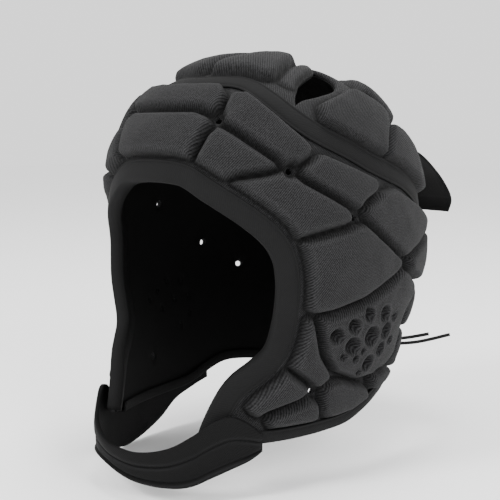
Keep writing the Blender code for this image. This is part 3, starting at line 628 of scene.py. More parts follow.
def foam(points, pads, hollows, keep_off):
    """Lift of the cloth at places in metres, and its marks for painted shade and painted highlight."""
    deep, tall = pad_depth(points, pads, keep_off)
    s = np.clip(deep / PAD_SIDE, 0, 1)
    lift = PAD_HEIGHT * tall * (1 - (1 - s) ** FLANK_POWER)
    lift += PAD_DOME * tall * (1 - np.exp(-np.maximum(deep - PAD_SIDE * 0.6, 0) / DOME_REACH))
    # the crease dips the cloth, and its mark paints shade into it
    crease_shade = np.exp(-((deep + CREASE_SHIFT) / CREASE_WIDTH) ** 2)
    lift -= CREASE_DEPTH * crease_shade
    # painted highlight along each pad's shoulder
    rim_highlight = np.exp(-((deep - PAD_SIDE * 0.9) / RIM_HIGHLIGHT_WIDTH) ** 2)
    soft = noise_at(points, SWELL_PITCH) * SWELL + noise_at(points, RIPPLE_PITCH, 3.1) * RIPPLE
    lift += soft * np.clip(0.35 + s, 0, 1)
    u, v = (share * LEVEL_LENGTH for share in EAR_BULGE_PLACE)
    d = np.hypot(np.abs(points[:, 0]) - u, points[:, 1] - v) / EAR_BULGE_RADIUS
    lift += EAR_BULGE_HEIGHT * s * np.clip(1 - d * d, 0, 1)
    return hollowed(points, lift, crease_shade, rim_highlight, hollows)


print("pads stand", PAD_HEIGHT + PAD_DOME, "m high")

# %% [markdown]
# ## From a chart to a mesh
# A panel needs a mesh that follows its outline and holes exactly and is finest where the shape turns. A
# grid cut with Booleans would break at the edges, and remeshing would lose the outlines. Blender's own
# constrained triangulation joins outlines and free points in the chart, and the result is then laid on the
# surface.

# %% triangles


def respaced(loop, spacing):
    """A closed outline with points about a spacing apart."""
    loop = np.vstack([loop, loop[:1]])
    length = np.concatenate([[0], np.cumsum(np.linalg.norm(np.diff(loop, axis=0), axis=1))])
    want = np.linspace(0, length[-1], max(6, round(length[-1] / spacing)) + 1)[:-1]
    return np.stack([np.interp(want, length, loop[:, k]) for k in (0, 1)], -1)


def lattice(low, high, spacing):
    """Points of a three-way grid."""
    us = np.arange(low[0], high[0], spacing)
    vs = np.arange(low[1], high[1], spacing * 0.866)
    grid = np.array([(u + spacing * 0.5 * (j % 2), v) for j, v in enumerate(vs) for u in us])
    return grid


def triangles(loops, free):
    """Triangles over a region with holes, through its outlines' points and some free points."""
    points = np.vstack(list(loops) + [free])
    edges, start = [], 0
    for loop in loops:
        n = len(loop)
        edges += [(start + k, start + (k + 1) % n) for k in range(n)]
        start += n
    verts, _, faces, origin, _, _ = geometry.delaunay_2d_cdt([Vector(p) for p in points], edges, [], 0, 1e-7)
    where = np.full(len(points), -1)
    for k, o in enumerate(origin):
        for i in o:
            where[i] = k
    verts = np.array([tuple(v) for v in verts])
    tri = np.array([f for f in faces if len(f) == 3])
    middle = verts[tri].mean(1)
    keep = away(middle, loops[0]) < 0
    for loop in loops[1:]:
        keep &= away(middle, loop) > 0
    tri = tri[keep]
    rings, start = [], 0
    for loop in loops:
        rings.append(where[start:start + len(loop)])
        start += len(loop)
    return verts, tri, rings


print("triangulation ready")

# %% [markdown]
# ## Pieces
# Each finished piece is a mesh object that sits at the origin, with its place in its mesh, and hides the
# solid of the imported model that it stands for. A UV map called places tells the materials how many metres
# along and across the cloth a point lies, and two attributes hold marks for painted shade in the creases and
# a painted highlight on the rims. The shapes here follow charts, which no bmesh operator does, so they start
# from points and faces. bmesh then turns the normals out.

# %% pieces


def finish_piece(obj, stands_for):
    """Ties a piece to its body and hides the solids that it stands for."""
    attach(obj, "root")
    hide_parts(*stands_for)
    return obj


def new_piece(name, verts, faces, look, places, painted_marks=None):
    """A piece from points and faces, with places in metres and marks of painted light for each point."""
    mesh = bpy.data.meshes.new(name)
    mesh.from_pydata(np.asarray(verts).tolist(), [], faces)
    mesh.validate()
    bm = bmesh.new()
    bm.from_mesh(mesh)
    bmesh.ops.recalc_face_normals(bm, faces=bm.faces)
    if bm.calc_volume(signed=True) < 0:
        bmesh.ops.reverse_faces(bm, faces=bm.faces)
    bm.to_mesh(mesh)
    bm.free()
    mesh.shade_smooth()
    corner = np.zeros(len(mesh.loops), int)
    mesh.loops.foreach_get("vertex_index", corner)
    layer = mesh.uv_layers.new(name="places")
    layer.data.foreach_set("uv", np.asarray(places, np.float32)[corner].ravel())
    # marks of painted shade and painted highlight, one value for each point
    for key in ("crease_shade", "rim_highlight"):
        values = (painted_marks or {}).get(key, np.zeros(len(verts)))
        mesh.attributes.new(key, "FLOAT", "POINT").data.foreach_set("value", np.asarray(values, np.float32))
    mesh.materials.append(look)
    obj = bpy.data.objects.new(name, mesh)
    bpy.context.scene.collection.objects.link(obj)
    return obj


def joined(top_tri, bottom_tri, top_rings, bottom_rings, n):
    """Faces of a closed cloth: outside, inside turned round, and walls between their outlines."""
    faces = top_tri.tolist() + (bottom_tri[:, ::-1] + n).tolist()
    for top, bottom in zip(top_rings, bottom_rings):
        for k in range(len(top)):
            j = (k + 1) % len(top)
            faces.append([int(top[k]), int(top[j]), int(bottom[j]) + n, int(bottom[k]) + n])
    return faces


print("piece helpers ready")

# %% [markdown]
# ## A padded panel
# On the real object a panel is foam between an outer and an inner cloth. A flat mesh with a Solidify
# modifier could give both, but the inside has no pads and needs only a few large faces. So the outer cloth
# is meshed finely along the flanks of its pads and in the ear pad, the inner one coarsely, and walls join
# them at every edge and hole. The holes flare inwards a little, as they do where foam is pierced from
# outside.

# %% places for the mesh
PAD_CORNER, FLARE, SMALL_HOLE_SIDES = 0.0045, 1.5, 20
EDGE_MESH, COARSE_MESH, FINE_MESH, TIGHT_MESH, INNER_MESH = 0.0022, 0.0026, 0.0014, 0.0007, 0.0075
COARSE_ROOM, FINE_ROOM = 0.0022, 0.0016


def rounded(corners, corner_radius, steps=5):
    """An outline with its corners rounded."""
    out = []
    for i in range(len(corners)):
        a, b, c = (np.array(corners[k % len(corners)], float) for k in (i - 1, i, i + 1))
        before, after = a - b, c - b
        long_before, long_after = np.linalg.norm(before), np.linalg.norm(after)
        half = math.acos(np.clip(before @ after / long_before / long_after, -1, 1)) / 2
        reach = min(corner_radius / math.tan(half), 0.42 * long_before, 0.42 * long_after)
        start, end = b + before / long_before * reach, b + after / long_after * reach
        for k in range(steps + 1):
            s = k / steps
            out.append(start * (1 - s) ** 2 + b * 2 * s * (1 - s) + end * s * s)
    return np.array(out)


def flared(hole, share):
    """A small hole's outline made larger; a vent stays as it is."""
    share = share if len(hole) < SMALL_HOLE_SIDES else 1.0
    return hole.mean(0) + (hole - hole.mean(0)) * share


def outer_places(low, high, pads, keep_off, fine_spots):
    """Free places of the outer cloth: coarse on flat ground, fine on flanks, tight in the ear pad."""
    coarse, fine = lattice(low, high, COARSE_MESH), lattice(low, high, FINE_MESH)
    d, _ = pad_depth(coarse, pads, keep_off)
    busy = (d > -COARSE_ROOM) & (d < PAD_SIDE + COARSE_ROOM)
    d, _ = pad_depth(fine, pads, keep_off)
    wanted = (d > -FINE_ROOM) & (d < PAD_SIDE + FINE_ROOM)
    spots = []
    for u, v, size in fine_spots:
        busy |= np.hypot(coarse[:, 0] - u, coarse[:, 1] - v) < size
        wanted &= np.hypot(fine[:, 0] - u, fine[:, 1] - v) > size
        tight = lattice((u - size, v - size), (u + size, v + size), TIGHT_MESH)
        spots.append(tight[np.hypot(tight[:, 0] - u, tight[:, 1] - v) < size - 0.0004])
    return np.vstack([coarse[~busy], fine[wanted]] + spots)


def clear_of(free, loops, edge_room, hole_room):
    """Free places that lie inside the outline and outside the holes."""
    free = free[away(free, loops[0]) < -edge_room]
    for hole in loops[1:]:
        free = free[away(free, hole) > hole_room]
    return free


print("panel mesh from", FINE_MESH, "to", INNER_MESH, "m")

# %% padded panel
HOLE_DIP, HOLE_DIP_WIDTH = 0.0010, 0.0009


def panel(name, chart, boundary, holes, pads, heights, hollows, keep_off, fine_spots, stands_for):
    """A closed piece of foam and cloth: pads on its outside, plain cloth inside."""
    loops = [respaced(boundary * LEVEL_LENGTH, EDGE_MESH)] + [h * LEVEL_LENGTH for h in holes]
    pads = [(rounded(p * LEVEL_LENGTH, PAD_CORNER), height) for p, height in zip(pads, heights)]
    low, high = loops[0].min(0), loops[0].max(0)
    free = outer_places(low, high, pads, keep_off, fine_spots)
    verts, tri, rings = triangles(loops, clear_of(free, loops, edge_room=0.0010, hole_room=0.0005))
    lift, crease_shade, rim_highlight = foam(verts, pads, hollows, keep_off)
    for hole in loops[1:]:
        d = np.maximum(away(verts, hole), 0)
        lift -= HOLE_DIP * np.exp(-(d / HOLE_DIP_WIDTH) ** 2)
    loops = loops[:1] + [flared(hole, FLARE) for hole in loops[1:]]
    free = clear_of(lattice(low, high, INNER_MESH), loops, edge_room=0.003, hole_room=0.002)
    under, under_tri, under_rings = triangles(loops, free)
    points = np.vstack([place(chart, verts / LEVEL_LENGTH, lift),
                        place(chart, under / LEVEL_LENGTH, -SHELL_THICK)])
    faces = joined(tri, under_tri, rings, under_rings, len(verts))
    # painted shade and highlight only on the outer cloth
    zero = np.zeros(len(under))
    painted_marks = {"crease_shade": np.concatenate([crease_shade, zero]), "rim_highlight": np.concatenate([rim_highlight, zero])}
    obj = new_piece(name, points, faces, CLOTH, np.vstack([verts, under]), painted_marks)
    finish_piece(obj, stands_for)
    print(name, len(obj.data.polygons), "faces")
    return obj


print("panel helper ready")

# %% [markdown]
# ## Side panel
# The pads of the side panel are mostly irregular blocks: long ones over the temple, a large one on the
# ear, small ones along the jaw and across the nape. A texture could only fake them. Their corners were
# read off the photograph through the camera, as an angle and a level each. The ones that it hides at the
# back are guessed.

# %% pads of the side panel
# corners of the raised pads, angle and level: across the forehead, then on the wearer's left
FOREHEAD_PADS = [
    [(-15, 0.630), (15, 0.630), (20.5, 0.705), (15.5, 0.862), (-15.5, 0.862), (-20.5, 0.705)],
    [(-19, 0.478), (19, 0.478), (22.5, 0.540), (21, 0.610), (-21, 0.610), (-22.5, 0.540)],
]
SIDE_PADS = [
    [(26.5, 0.545), (33, 0.540), (57.5, 0.835), (47.5, 0.885), (26, 0.685)],
    [(21, 0.745), (25, 0.716), (30, 0.757), (43.5, 0.892), (40, 0.912), (25, 0.940), (18, 0.880)],
    [(30, 0.975), (46, 0.940), (69, 1.110), (71.5, 1.160), (68, 1.178), (49.5, 1.205), (46, 1.170),
     (33, 1.015)],
    [(52, 0.935), (61, 0.862), (87, 0.985), (88, 1.035), (77, 1.092)],
    [(80.5, 1.108), (90, 1.062), (101, 1.045), (134, 1.215), (130, 1.262), (105, 1.350), (83, 1.175)],
    [(52.5, 1.262), (66, 1.212), (80.5, 1.200), (101.5, 1.395), (97, 1.448), (62, 1.560), (55, 1.548),
     (53.5, 1.340)],
    [(111, 1.392), (133, 1.300), (150, 1.285), (152, 1.440), (134, 1.515), (112, 1.430)],
    [(59, 1.612), (78, 1.578), (103, 1.432), (117, 1.540), (109, 1.650), (110, 1.860), (100, 1.930),
     (82, 1.932), (69, 1.865), (61.5, 1.765)],
    [(54.5, 1.615), (53, 1.700), (49, 1.800), (50.5, 1.848), (60, 1.936), (64.5, 1.905), (60.5, 1.800),
     (57, 1.640)],
    [(33.5, 1.975), (43.5, 1.868), (47.5, 1.865), (55, 1.950), (52.5, 1.992), (37, 2.048)],
    [(40.5, 2.072), (55.5, 2.018), (60, 2.045), (60, 2.100), (55, 2.122), (43, 2.122)],
    [(64.5, 1.958), (72, 1.962), (91, 2.028), (93, 2.068), (80, 2.108), (67.5, 2.112), (64, 2.070)],
    [(97, 1.958), (113, 1.970), (114, 1.988), (103, 2.032), (97.5, 2.022)],
    [(157, 1.290), (168, 1.290), (168, 1.455), (158, 1.460)],
    [(118, 1.660), (128, 1.600), (150, 1.515), (168, 1.505), (168, 1.725), (146, 1.735), (117.5, 1.735)],
    [(118.5, 1.785), (146, 1.785), (168, 1.775), (168, 1.970), (148, 1.990), (126, 1.975), (118, 1.900)],
]
side_pads = [np.array([to_side(*c) for c in corners]) for corners in SIDE_PADS]
side_pads += [mirrored(p) for p in side_pads]
side_pads += [np.array([to_side(*c) for c in corners]) for corners in FOREHEAD_PADS]
print(len(side_pads), "pads on the side panel")

# %% hollows of the ear pads
EAR_SPOT_PLACE, EAR_SPOT_RADIUS = to_side(82.5, 1.745), 0.030
hollows, ear_spots = [], []
for side in (1, -1):
    for angle, level, size, depth in EAR_HOLLOWS + EAR_DIMPLES:
        u, v = to_side(angle, level)
        hollows.append((side * u * LEVEL_LENGTH, v * LEVEL_LENGTH, size, depth))
    u, v = EAR_SPOT_PLACE
    ear_spots.append((side * u * LEVEL_LENGTH, v * LEVEL_LENGTH, EAR_SPOT_RADIUS))
print(len(hollows), "hollows and dimples")

# %% side panel
TAPE_WIDTH, FACE_BINDING_WIDTH, EDGE_BINDING_WIDTH = 0.013, 0.0110, 0.0055
TAPE_ROOM, FACE_ROOM, HOLE_ROOM = 0.0006, 0.0022, 0.0034
tape_metres = tape * LEVEL_LENGTH
tape_room = TAPE_WIDTH / 2 + TAPE_ROOM
around_face = np.vstack([mirrored(face_edge[1:]), face_edge])
# lines that the pads keep away from, and how far
keep_off_side = [(tape_metres, tape_room), (mirrored(tape_metres), tape_room),
                 (around_face * LEVEL_LENGTH, FACE_BINDING_WIDTH + FACE_ROOM)]
for path in (neck, mirrored(neck), back, mirrored(back)):
    keep_off_side.append((path * LEVEL_LENGTH, EDGE_BINDING_WIDTH + TAPE_ROOM))
for angle, level in VENT_HOLES + lace_holes:
    for side in (1, -1):
        u, v = to_side(side * angle, level)
        keep_off_side.append((np.array([(u, v), (u + 1e-5, v)]) * LEVEL_LENGTH, HOLE_ROOM))
shell = panel("padded_side_shell", from_side, side_boundary, side_holes, side_pads, [1.0] * len(side_pads),
              hollows, keep_off_side, ear_spots, ["side_panel"])

# %% [markdown]
# ## Crown panel
# The crown has large triangular pads that meet along the middle, and a thin raised lip in front of each
# vent. It is made like the side panel, but in the chart seen from above, where these pads keep their true
# shape.

# %% crown panel
VENT_ROOM = 0.0012
CROWN_PADS = [
    [(5, 0.325), (32, 0.342), (44.5, 0.385), (79, 0.165), (115, 0.104), (165, 0.110)],
    [(56.5, 0.452), (49.5, 0.392), (92, 0.170), (113, 0.196), (76, 0.304)],
    [(67, 0.600), (80, 0.550), (92, 0.508), (116, 0.632), (113, 0.695), (99, 0.860), (84, 0.800),
     (66, 0.695)],
    [(116, 0.712), (136, 0.790), (141, 0.970), (137, 1.080), (112, 0.925), (102, 0.872)],
    [(176, 0.430), (150, 0.420), (113, 0.500), (121, 0.615), (140, 0.675), (176.5, 0.620)],
]
CROWN_HEIGHTS = [1.0, 0.22, 1.0, 1.0, 1.0]
crown_pads = [np.array([to_crown(*c) for c in corners]) for corners in CROWN_PADS]
crown_pads += [mirrored(p) for p in crown_pads]
seam_room = np.vstack([crown_boundary, crown_boundary[:1]]) * LEVEL_LENGTH
vent_lines = [(np.vstack([v, v[:1]]) * LEVEL_LENGTH, VENT_ROOM) for v in vents]
crown = panel("padded_crown_shell", from_crown, crown_boundary, vents, crown_pads, CROWN_HEIGHTS * 2,
              [], [(seam_room, tape_room)] + vent_lines, [], ["crown_panel"])

# %% [markdown]
# ## Linings
# Inside, a thin matt cloth is stretched over the foam and quilted, and through the face opening it reads
# as one dark surface. Draping it with a cloth simulation would only pull it flat on the shell, where it
# already lies. So it takes the panel's own outline and chart, a hair inside the shell, with a low swell
# between its quilting seams.

# %% linings
LINING_EDGE_MESH, LINING_MESH, QUILT_PITCH, QUILT_SWELL = 0.0035, 0.0042, 0.028, 0.0006


def quilted(verts):
    """How far the lining swells between its quilting seams."""
    along, across = (np.abs(np.sin(verts[:, k] * math.pi / QUILT_PITCH)) for k in (0, 1))
    return QUILT_SWELL * (along * across)


def lining(name, chart, boundary, holes, stands_for):
    """A thin sheet of lining under a panel, with the seams of its quilting pressed in."""
    loops = [respaced(boundary * LEVEL_LENGTH, LINING_EDGE_MESH)]
    loops += [flared(h * LEVEL_LENGTH, FLARE * 1.1) for h in holes]
    low, high = loops[0].min(0), loops[0].max(0)
    free = clear_of(lattice(low, high, LINING_MESH), loops, edge_room=0.0022, hole_room=0.0015)
    verts, tri, rings = triangles(loops, free)
    inner_lift = -SHELL_THICK - GAP - LINING_THICK * 0.8 - quilted(verts) * 0.5
    points = np.vstack([place(chart, verts / LEVEL_LENGTH, -SHELL_THICK - GAP),
                        place(chart, verts / LEVEL_LENGTH, inner_lift)])
    n = len(verts)
    faces = joined(tri, tri, rings, rings, n)
    obj = new_piece(name, points, faces, LINING, np.vstack([verts, verts]))
    finish_piece(obj, stands_for)


lining("side_lining_cloth", from_side, side_boundary, side_holes, ["side_lining"])
lining("crown_lining_cloth", from_crown, crown_boundary, vents, ["crown_lining"])

# %% [markdown]
# ## Swept pieces
# Bindings and tape are narrow strips sewn along an edge or a seam. A curve with a bevel object could make
# them, but a curve twists by its own rules, and these must lie flat on a cloth that bends two ways. So a
# section is swept along a path in the chart: each place gets its own frame from the cloth's way out, and
# each point of the section is lifted until it clears the cloth under it.

# %% lift over the cloth


def follow(p, spots):
    """How far points stand above the base cloth, found near their chart places in three steps."""
    p = p.copy()
    for _ in range(3):
        here = place(from_side, p)
        du = (place(from_side, p + [0.01, 0]) - here) / 0.01
        dv = (place(from_side, p + [0, 0.01]) - here) / 0.01
        miss = spots - here
        a, b, c = (du * du).sum(1), (du * dv).sum(1), (dv * dv).sum(1)
        d, e = (miss * du).sum(1), (miss * dv).sum(1)
        size = a * c - b * b
        p = p + np.stack([(d * c - e * b) / size, (e * a - d * b) / size], -1)
    here, out = stand(from_side, p)
    return ((spots - here) * out).sum(1)


def lengths(points):
    """How far along a line of points each of them lies."""
    return np.concatenate([[0], np.cumsum(np.linalg.norm(np.diff(points, axis=0), axis=1))])


print("lift helpers ready")

# %% sweep
BINDING_RIPPLE, RIPPLE_LENGTH, INSIDE_SHADE = 0.00012, 0.010, 0.9


def sweep(name, path, section, stands_for, closed=False):
    """A section of (sideways, lift) points swept along a path of chart places."""
    path, section = np.asarray(path), np.asarray(section)
    n, m = len(path), len(section)
    middle, out = stand(from_side, path)
    if closed:
        along = np.roll(middle, -1, 0) - np.roll(middle, 1, 0)
    else:
        along = np.vstack([middle[1:], middle[-1:]]) - np.vstack([middle[:1], middle[:-1]])
    along /= np.linalg.norm(along, axis=1, keepdims=True)
    aside = np.cross(out, along)
    aside /= np.linalg.norm(aside, axis=1, keepdims=True)
    length, girth = lengths(middle), lengths(section)
    verts, places, shade_marks = [], [], []
    for k, (sideways, lift) in enumerate(section):
        spots = middle + aside * sideways
        soft_at = np.stack([length, np.full(n, k * 0.004)], -1)
        ripple = noise_at(soft_at, RIPPLE_LENGTH, 7.7) * BINDING_RIPPLE
        verts.append(spots + out * (lift + ripple - follow(path, spots))[:, None])
        places.append(np.stack([length, np.full(n, girth[k])], -1))
        # painted shade: points of the section inside the shell are marked, so a binding's inner leg is darker
        shade_marks.append(np.full(n, INSIDE_SHADE if lift < -SHELL_THICK else 0.0))
    verts = np.stack(verts, 1).reshape(-1, 3)
    places = np.stack(places, 1).reshape(-1, 2)
    faces = []
    for i in range(n if closed else n - 1):
        a, b = i * m, (i + 1) % n * m
        faces += [(a + k, a + (k + 1) % m, b + (k + 1) % m, b + k) for k in range(m)]
    if not closed:
        faces += [tuple(range(m)), tuple((n - 1) * m + k for k in reversed(range(m)))]
    obj = new_piece(name, verts, faces, TAPE, places, {"crease_shade": np.stack(shade_marks, 1).ravel()})
    finish_piece(obj, stands_for)
    print(name, len(faces), "faces")


print("sweep ready")

# %% [markdown]
# ## Bindings
# A folded tape covers every free edge: a wide one round the face, a narrow one round the neck and the
# split. Seen in section it is a channel, with a row of stitches that presses a furrow near its edge. The
# furrow is modelled, because it catches light along the whole face opening, but the stitches are too small
# to be.

# %% bindings
BINDING_INNER_CLEAR, STITCHES_FROM_EDGE, JAW_CLEAR = 0.0013, 0.0016, 0.005


def channel(width, under):
    """The section of a binding folded over an edge, with a row of stitches pressed in along it."""
    top, low, edge = BINDING_CLEAR, -under - BINDING_INNER_CLEAR, -BINDING_CLEAR
    high, deep, thick = top + BINDING_THICK, low - BINDING_THICK, BINDING_THICK
    seam = width - STITCHES_FROM_EDGE
    inside = [(width, top), (width * 0.5, top), (edge, top), (edge, low), (width * 0.8, low)]
    turned = [(width * 0.8, deep + thick * 0.3), (width * 0.75, deep), (edge, deep),
              (edge - thick * 0.7, deep + thick * 0.3), (edge - thick, low * 0.75),
              (edge - thick, low * 0.25), (edge - thick * 0.95, top),
              (edge - thick * 0.6, high - thick * 0.3), (edge, high)]
    furrow = [(width * 0.3, high + 0.0001), (seam - 0.0012, high), (seam - 0.0004, high - 0.0002),
              (seam, high - 0.0005), (seam + 0.0004, high - 0.0002), (width - 0.0006, high - 0.0001),
              (width - 0.0001, high - thick * 0.4)]
    return inside + turned + furrow


sweep("face_edging", around_face, channel(FACE_BINDING_WIDTH, SEAT), ["face_binding"])
room = (FACE_BINDING_WIDTH + JAW_CLEAR) / LEVEL_LENGTH
first = int(np.argmax(np.linalg.norm(neck - face_edge[-1], axis=1) > room))
neck_path = np.vstack([neck[first:-1], back[1:-1]])
for side, path in (("left", neck_path), ("right", mirrored(neck_path))):
    sweep(f"neck_edging_{side}", path, channel(EDGE_BINDING_WIDTH, SEAT), [f"neck_binding_{side}"])

# %% [markdown]
# ## Seam tape
# A flat tape hides the seam between the two panels and runs all the way round. It has two rows of
# stitches, so its section dips twice. Sweeping it as a closed ring leaves no end to hide.

# %% seam tape
TAPE_THICK, TAPE_LIFT, TAPE_BULGE = 0.001, 0.0006, 0.0001
half, low_lift, high_lift = TAPE_WIDTH / 2, TAPE_LIFT, TAPE_LIFT + TAPE_THICK
# over the tape, from one edge to the other: share of its half width, and how far it dips
OVER_TAPE = [
    (0.93, 0.0), (0.80, 0.0), (0.74, 0.0004), (0.68, 0.0), (0.35, -0.0002), (0.0, -0.0003),
    (-0.35, -0.0002), (-0.68, 0.0), (-0.74, 0.0004), (-0.80, 0.0), (-0.93, 0.0),
]
tape_section = [(-half, low_lift), (0, low_lift), (half, low_lift), (half + TAPE_BULGE, high_lift - 0.0004)]
tape_section += [(half * share, high_lift - dip) for share, dip in OVER_TAPE]
tape_section.append((-half - TAPE_BULGE, high_lift - 0.0004))
whole = 360 / DEGREES_PER_LEVEL
wrap = np.vstack([tape, np.stack([whole - tape[-2:0:-1, 0], tape[-2:0:-1, 1]], -1)])
sweep("seam_cover", wrap, tape_section, ["seam_tape"], closed=True)

# %% [markdown]
# ## Chin strap
# A wide soft band runs under the chin from jaw to jaw, sewn in three strips: a puffy upper one, a flat
# middle and a round hem. Cloth simulation could hang it, but its folds are sewn in, not fallen. So its
# path and its two edges are read off the photograph as a table, and the three strips are bulges of one
# section. The section is carried along the path. Painted shade darkens the sewn lines between its strips,
# and a thin painted highlight runs beside each of them.

# %% chin strap table
STRAP_FRONT, STRAP_THICK, STRAP_RIM = 0.125, 0.0022, 0.0010

# angle, reach as a share of STRAP_FRONT, upper and lower edges as shares of DROP
STRAP_LINE = [
    (-104, 0.597, 0.846, 0.868), (-92, 0.591, 0.844, 0.888), (-80, 0.596, 0.844, 0.909),
    (-70, 0.617, 0.844, 0.946), (-60, 0.653, 0.844, 0.970), (-51, 0.700, 0.844, 0.984),
    (-43, 0.747, 0.842, 0.984), (-36, 0.797, 0.822, 0.968), (-30, 0.846, 0.788, 0.948),
    (-22, 0.904, 0.806, 0.928), (-14, 0.964, 0.844, 0.917), (-6, 0.994, 0.870, 0.920),
    (0, 1.000, 0.876, 0.933), (6, 0.994, 0.876, 0.944), (14, 0.965, 0.860, 0.950),
    (20, 0.925, 0.832, 0.946), (25, 0.878, 0.804, 0.930), (30, 0.838, 0.792, 0.914),
    (35, 0.796, 0.812, 0.900), (39.5, 0.767, 0.842, 0.882),
]
# strips from the upper edge down: start, end, bulge, roundness
STRIPS = [(0.0, 0.45, 1.0, 0.5), (0.45, 0.885, 0.28, 0.6), (0.885, 1.0, 1.1, 0.5)]
UPPER_SEAM, LOWER_SEAM = STRIPS[0][1], STRIPS[1][1]
STRAP_STATIONS, WIDE_STRIP_POINTS, HEM_POINTS, BACK_POINTS = 190, 14, 9, 12

angles = np.linspace(STRAP_LINE[0][0], STRAP_LINE[-1][0], STRAP_STATIONS)
line = np.array([[smooth(STRAP_LINE, k, a) for k in (1, 2, 3)] for a in angles])
print("chin strap from", angles[0], "to", angles[-1], "degrees")

# %% chin strap section
BACK_SWELL = 0.0003
section = []
for start, end, bulge, roundness in STRIPS:
    for s in np.linspace(0.02, 0.98, WIDE_STRIP_POINTS if end - start > 0.2 else HEM_POINTS):
        section.append((start + (end - start) * s, bulge * math.sin(math.pi * s) ** roundness))
section += [(s, None) for s in np.linspace(0.985, 0.015, BACK_POINTS)]


def strap_reach(reach, share, bulge, fade, soft):
    """How far from the middle a point of the section lies; the back of the strap has no bulge."""
    if bulge is None:
        return reach * STRAP_FRONT + BACK_SWELL * math.sin(math.pi * share) ** 0.5
    thick = STRAP_THICK * min(1, 0.35 + 3 * bulge) + STRAP_RIM * bulge
    return reach * STRAP_FRONT + thick * fade + soft * fade


print("section of", len(section), "points")

# %% chin strap
STRAP_SWELL, SWELL_ALONG, SWELL_ACROSS, SWELL_SEED = 0.0005, 0.020, 0.007, 1.3
# painted shade on the sewn lines, and where a painted highlight runs beside them
SEAM_SHADE, SEAM_WIDTH, SEAM_HIGHLIGHT_AT = 0.9, 0.0006, 0.0014
verts, places, shade_marks, highlight_marks = [], [], [], []
way = 0.0
for i, angle in enumerate(angles):
    turn = math.radians(angle)
    reach, upper, lower = line[i]
    fade = math.sin(math.pi / 2 * min(1.0, min(i, len(angles) - 1 - i) / 3)) * 0.75 + 0.25
    tall = DROP * (lower - upper)
    for share, bulge in section:
        soft = noise.noise(Vector((way / SWELL_ALONG, share * tall / SWELL_ACROSS, SWELL_SEED))) * STRAP_SWELL
        r = strap_reach(reach, share, bulge, fade, soft)
        height = SEAT - DROP * (upper + (lower - upper) * share)
        verts.append((r * math.sin(turn), -r * math.cos(turn), height))
        places.append((way, share * tall))
        seam = min(abs(share - UPPER_SEAM), abs(share - LOWER_SEAM)) * tall
        front = bulge is not None
        # painted shade on the seams and a painted highlight beside them, on the front only
        shade_marks.append(SEAM_SHADE * math.exp(-(seam / SEAM_WIDTH) ** 2) if front else 0.0)
        highlight_marks.append(math.exp(-((seam - SEAM_HIGHLIGHT_AT) / SEAM_WIDTH) ** 2) if front else 0.0)
    if i + 1 < len(angles):
        way += reach * STRAP_FRONT * math.radians(angles[i + 1] - angle)
m = len(section)
faces = [tuple(range(m)), tuple((len(angles) - 1) * m + k for k in reversed(range(m)))]
for a in range(0, (len(angles) - 1) * m, m):
    faces += [(a + k, a + (k + 1) % m, a + m + (k + 1) % m, a + m + k) for k in range(m)]
strap = new_piece("chin_band", verts, faces, STRAP, places, {"crease_shade": shade_marks, "rim_highlight": highlight_marks})
finish_piece(strap, ["chin_strap"])
print("chin_band", len(faces), "faces, length", round(way, 3), "m")

# %% [markdown]
# ## Rear strap
# Behind the crown a doubled strip of cloth leaves the shell, hangs free and ends in a folded hem. A cloth
# simulation would let it fall flat against the back, but the real one is stiff enough to stand off. Two
# rows of points lie on the shell where it is sewn on, four more lead out to its tip, and smooth curves
# through them, first along and then across, give the sheet. Its seams and its slow wave are pressed into
# that.

# %% rear strap rows
TONGUE_HALF_WIDTH, TONGUE_ROOT_ANGLE = 0.055, 28.0
TONGUE_ROOT_LEVEL, TONGUE_SEAT_LEVEL = 0.735, 0.790
TONGUE_LIFT, TONGUE_THICK, TONGUE_HEM_EXTRA, HEM_ROWS = 0.0006, 0.0022, 0.0012, 2
COLUMNS, ACROSS, ROWS = 9, 73, 61

# distance back, depth, half width, bow
TONGUE_LINE = [
    (1.095, 0.236, 0.955, 0.170), (1.240, 0.292, 0.970, 0.110), (1.340, 0.358, 1.000, 0.080),
    (1.362, 0.400, 0.930, 0.070),
]
grid_in, grid_out = [], []
for level in (TONGUE_ROOT_LEVEL, TONGUE_SEAT_LEVEL):
    row = [to_side(180 - TONGUE_ROOT_ANGLE * (2 * j / (COLUMNS - 1) - 1), level) for j in range(COLUMNS)]
    grid_in.append(place(from_side, row, TONGUE_LIFT))
    grid_out.append(place(from_side, row, TONGUE_LIFT + TONGUE_THICK))
for i, (reach, depth, width, bow) in enumerate(TONGUE_LINE):
    thick = TONGUE_THICK + (TONGUE_HEM_EXTRA if i >= len(TONGUE_LINE) - HEM_ROWS else 0.0)
    share = np.linspace(-1, 1, COLUMNS)
    row = np.stack([TONGUE_HALF_WIDTH * width * share, BACK * (reach - bow * share**2),
                    np.full(COLUMNS, SEAT - DROP * depth)], -1)
    grid_in.append(row)
    grid_out.append(row + [0, thick * 0.75, thick * 0.66])
print("rear strap from", len(grid_in), "rows of", COLUMNS, "points")

# %% rear strap sheet


def finer(grid, count):
    """A grid of points made finer along its first way, on smooth curves through the rows."""
    flat = np.stack(grid).reshape(len(grid), -1)
    ends = np.vstack([flat[:1], flat, flat[-1:]])
    where = np.linspace(0, len(grid) - 1, count)
    i = np.minimum(where.astype(int), len(grid) - 2)
    s = (where - i)[:, None]
    a, b, c, d = (ends[i + k] for k in range(4))
    square, cube = 2 * a - 5 * b + 4 * c - d, 3 * b - a - 3 * c + d
    return (0.5 * (2 * b + (c - a) * s + square * s**2 + cube * s**3)).reshape(count, -1, 3)


top_sheet, low_sheet = (finer(finer(grid, ROWS).transpose(1, 0, 2), ACROSS).transpose(1, 0, 2)
                        for grid in (grid_out, grid_in))
thickness = top_sheet - low_sheet
centre = (top_sheet + low_sheet) / 2
row_length = lengths(centre[:, ACROSS // 2])
tall = row_length[-1]
print("rear strap", round(2 * TONGUE_HALF_WIDTH, 3), "by", round(float(tall), 3), "m")

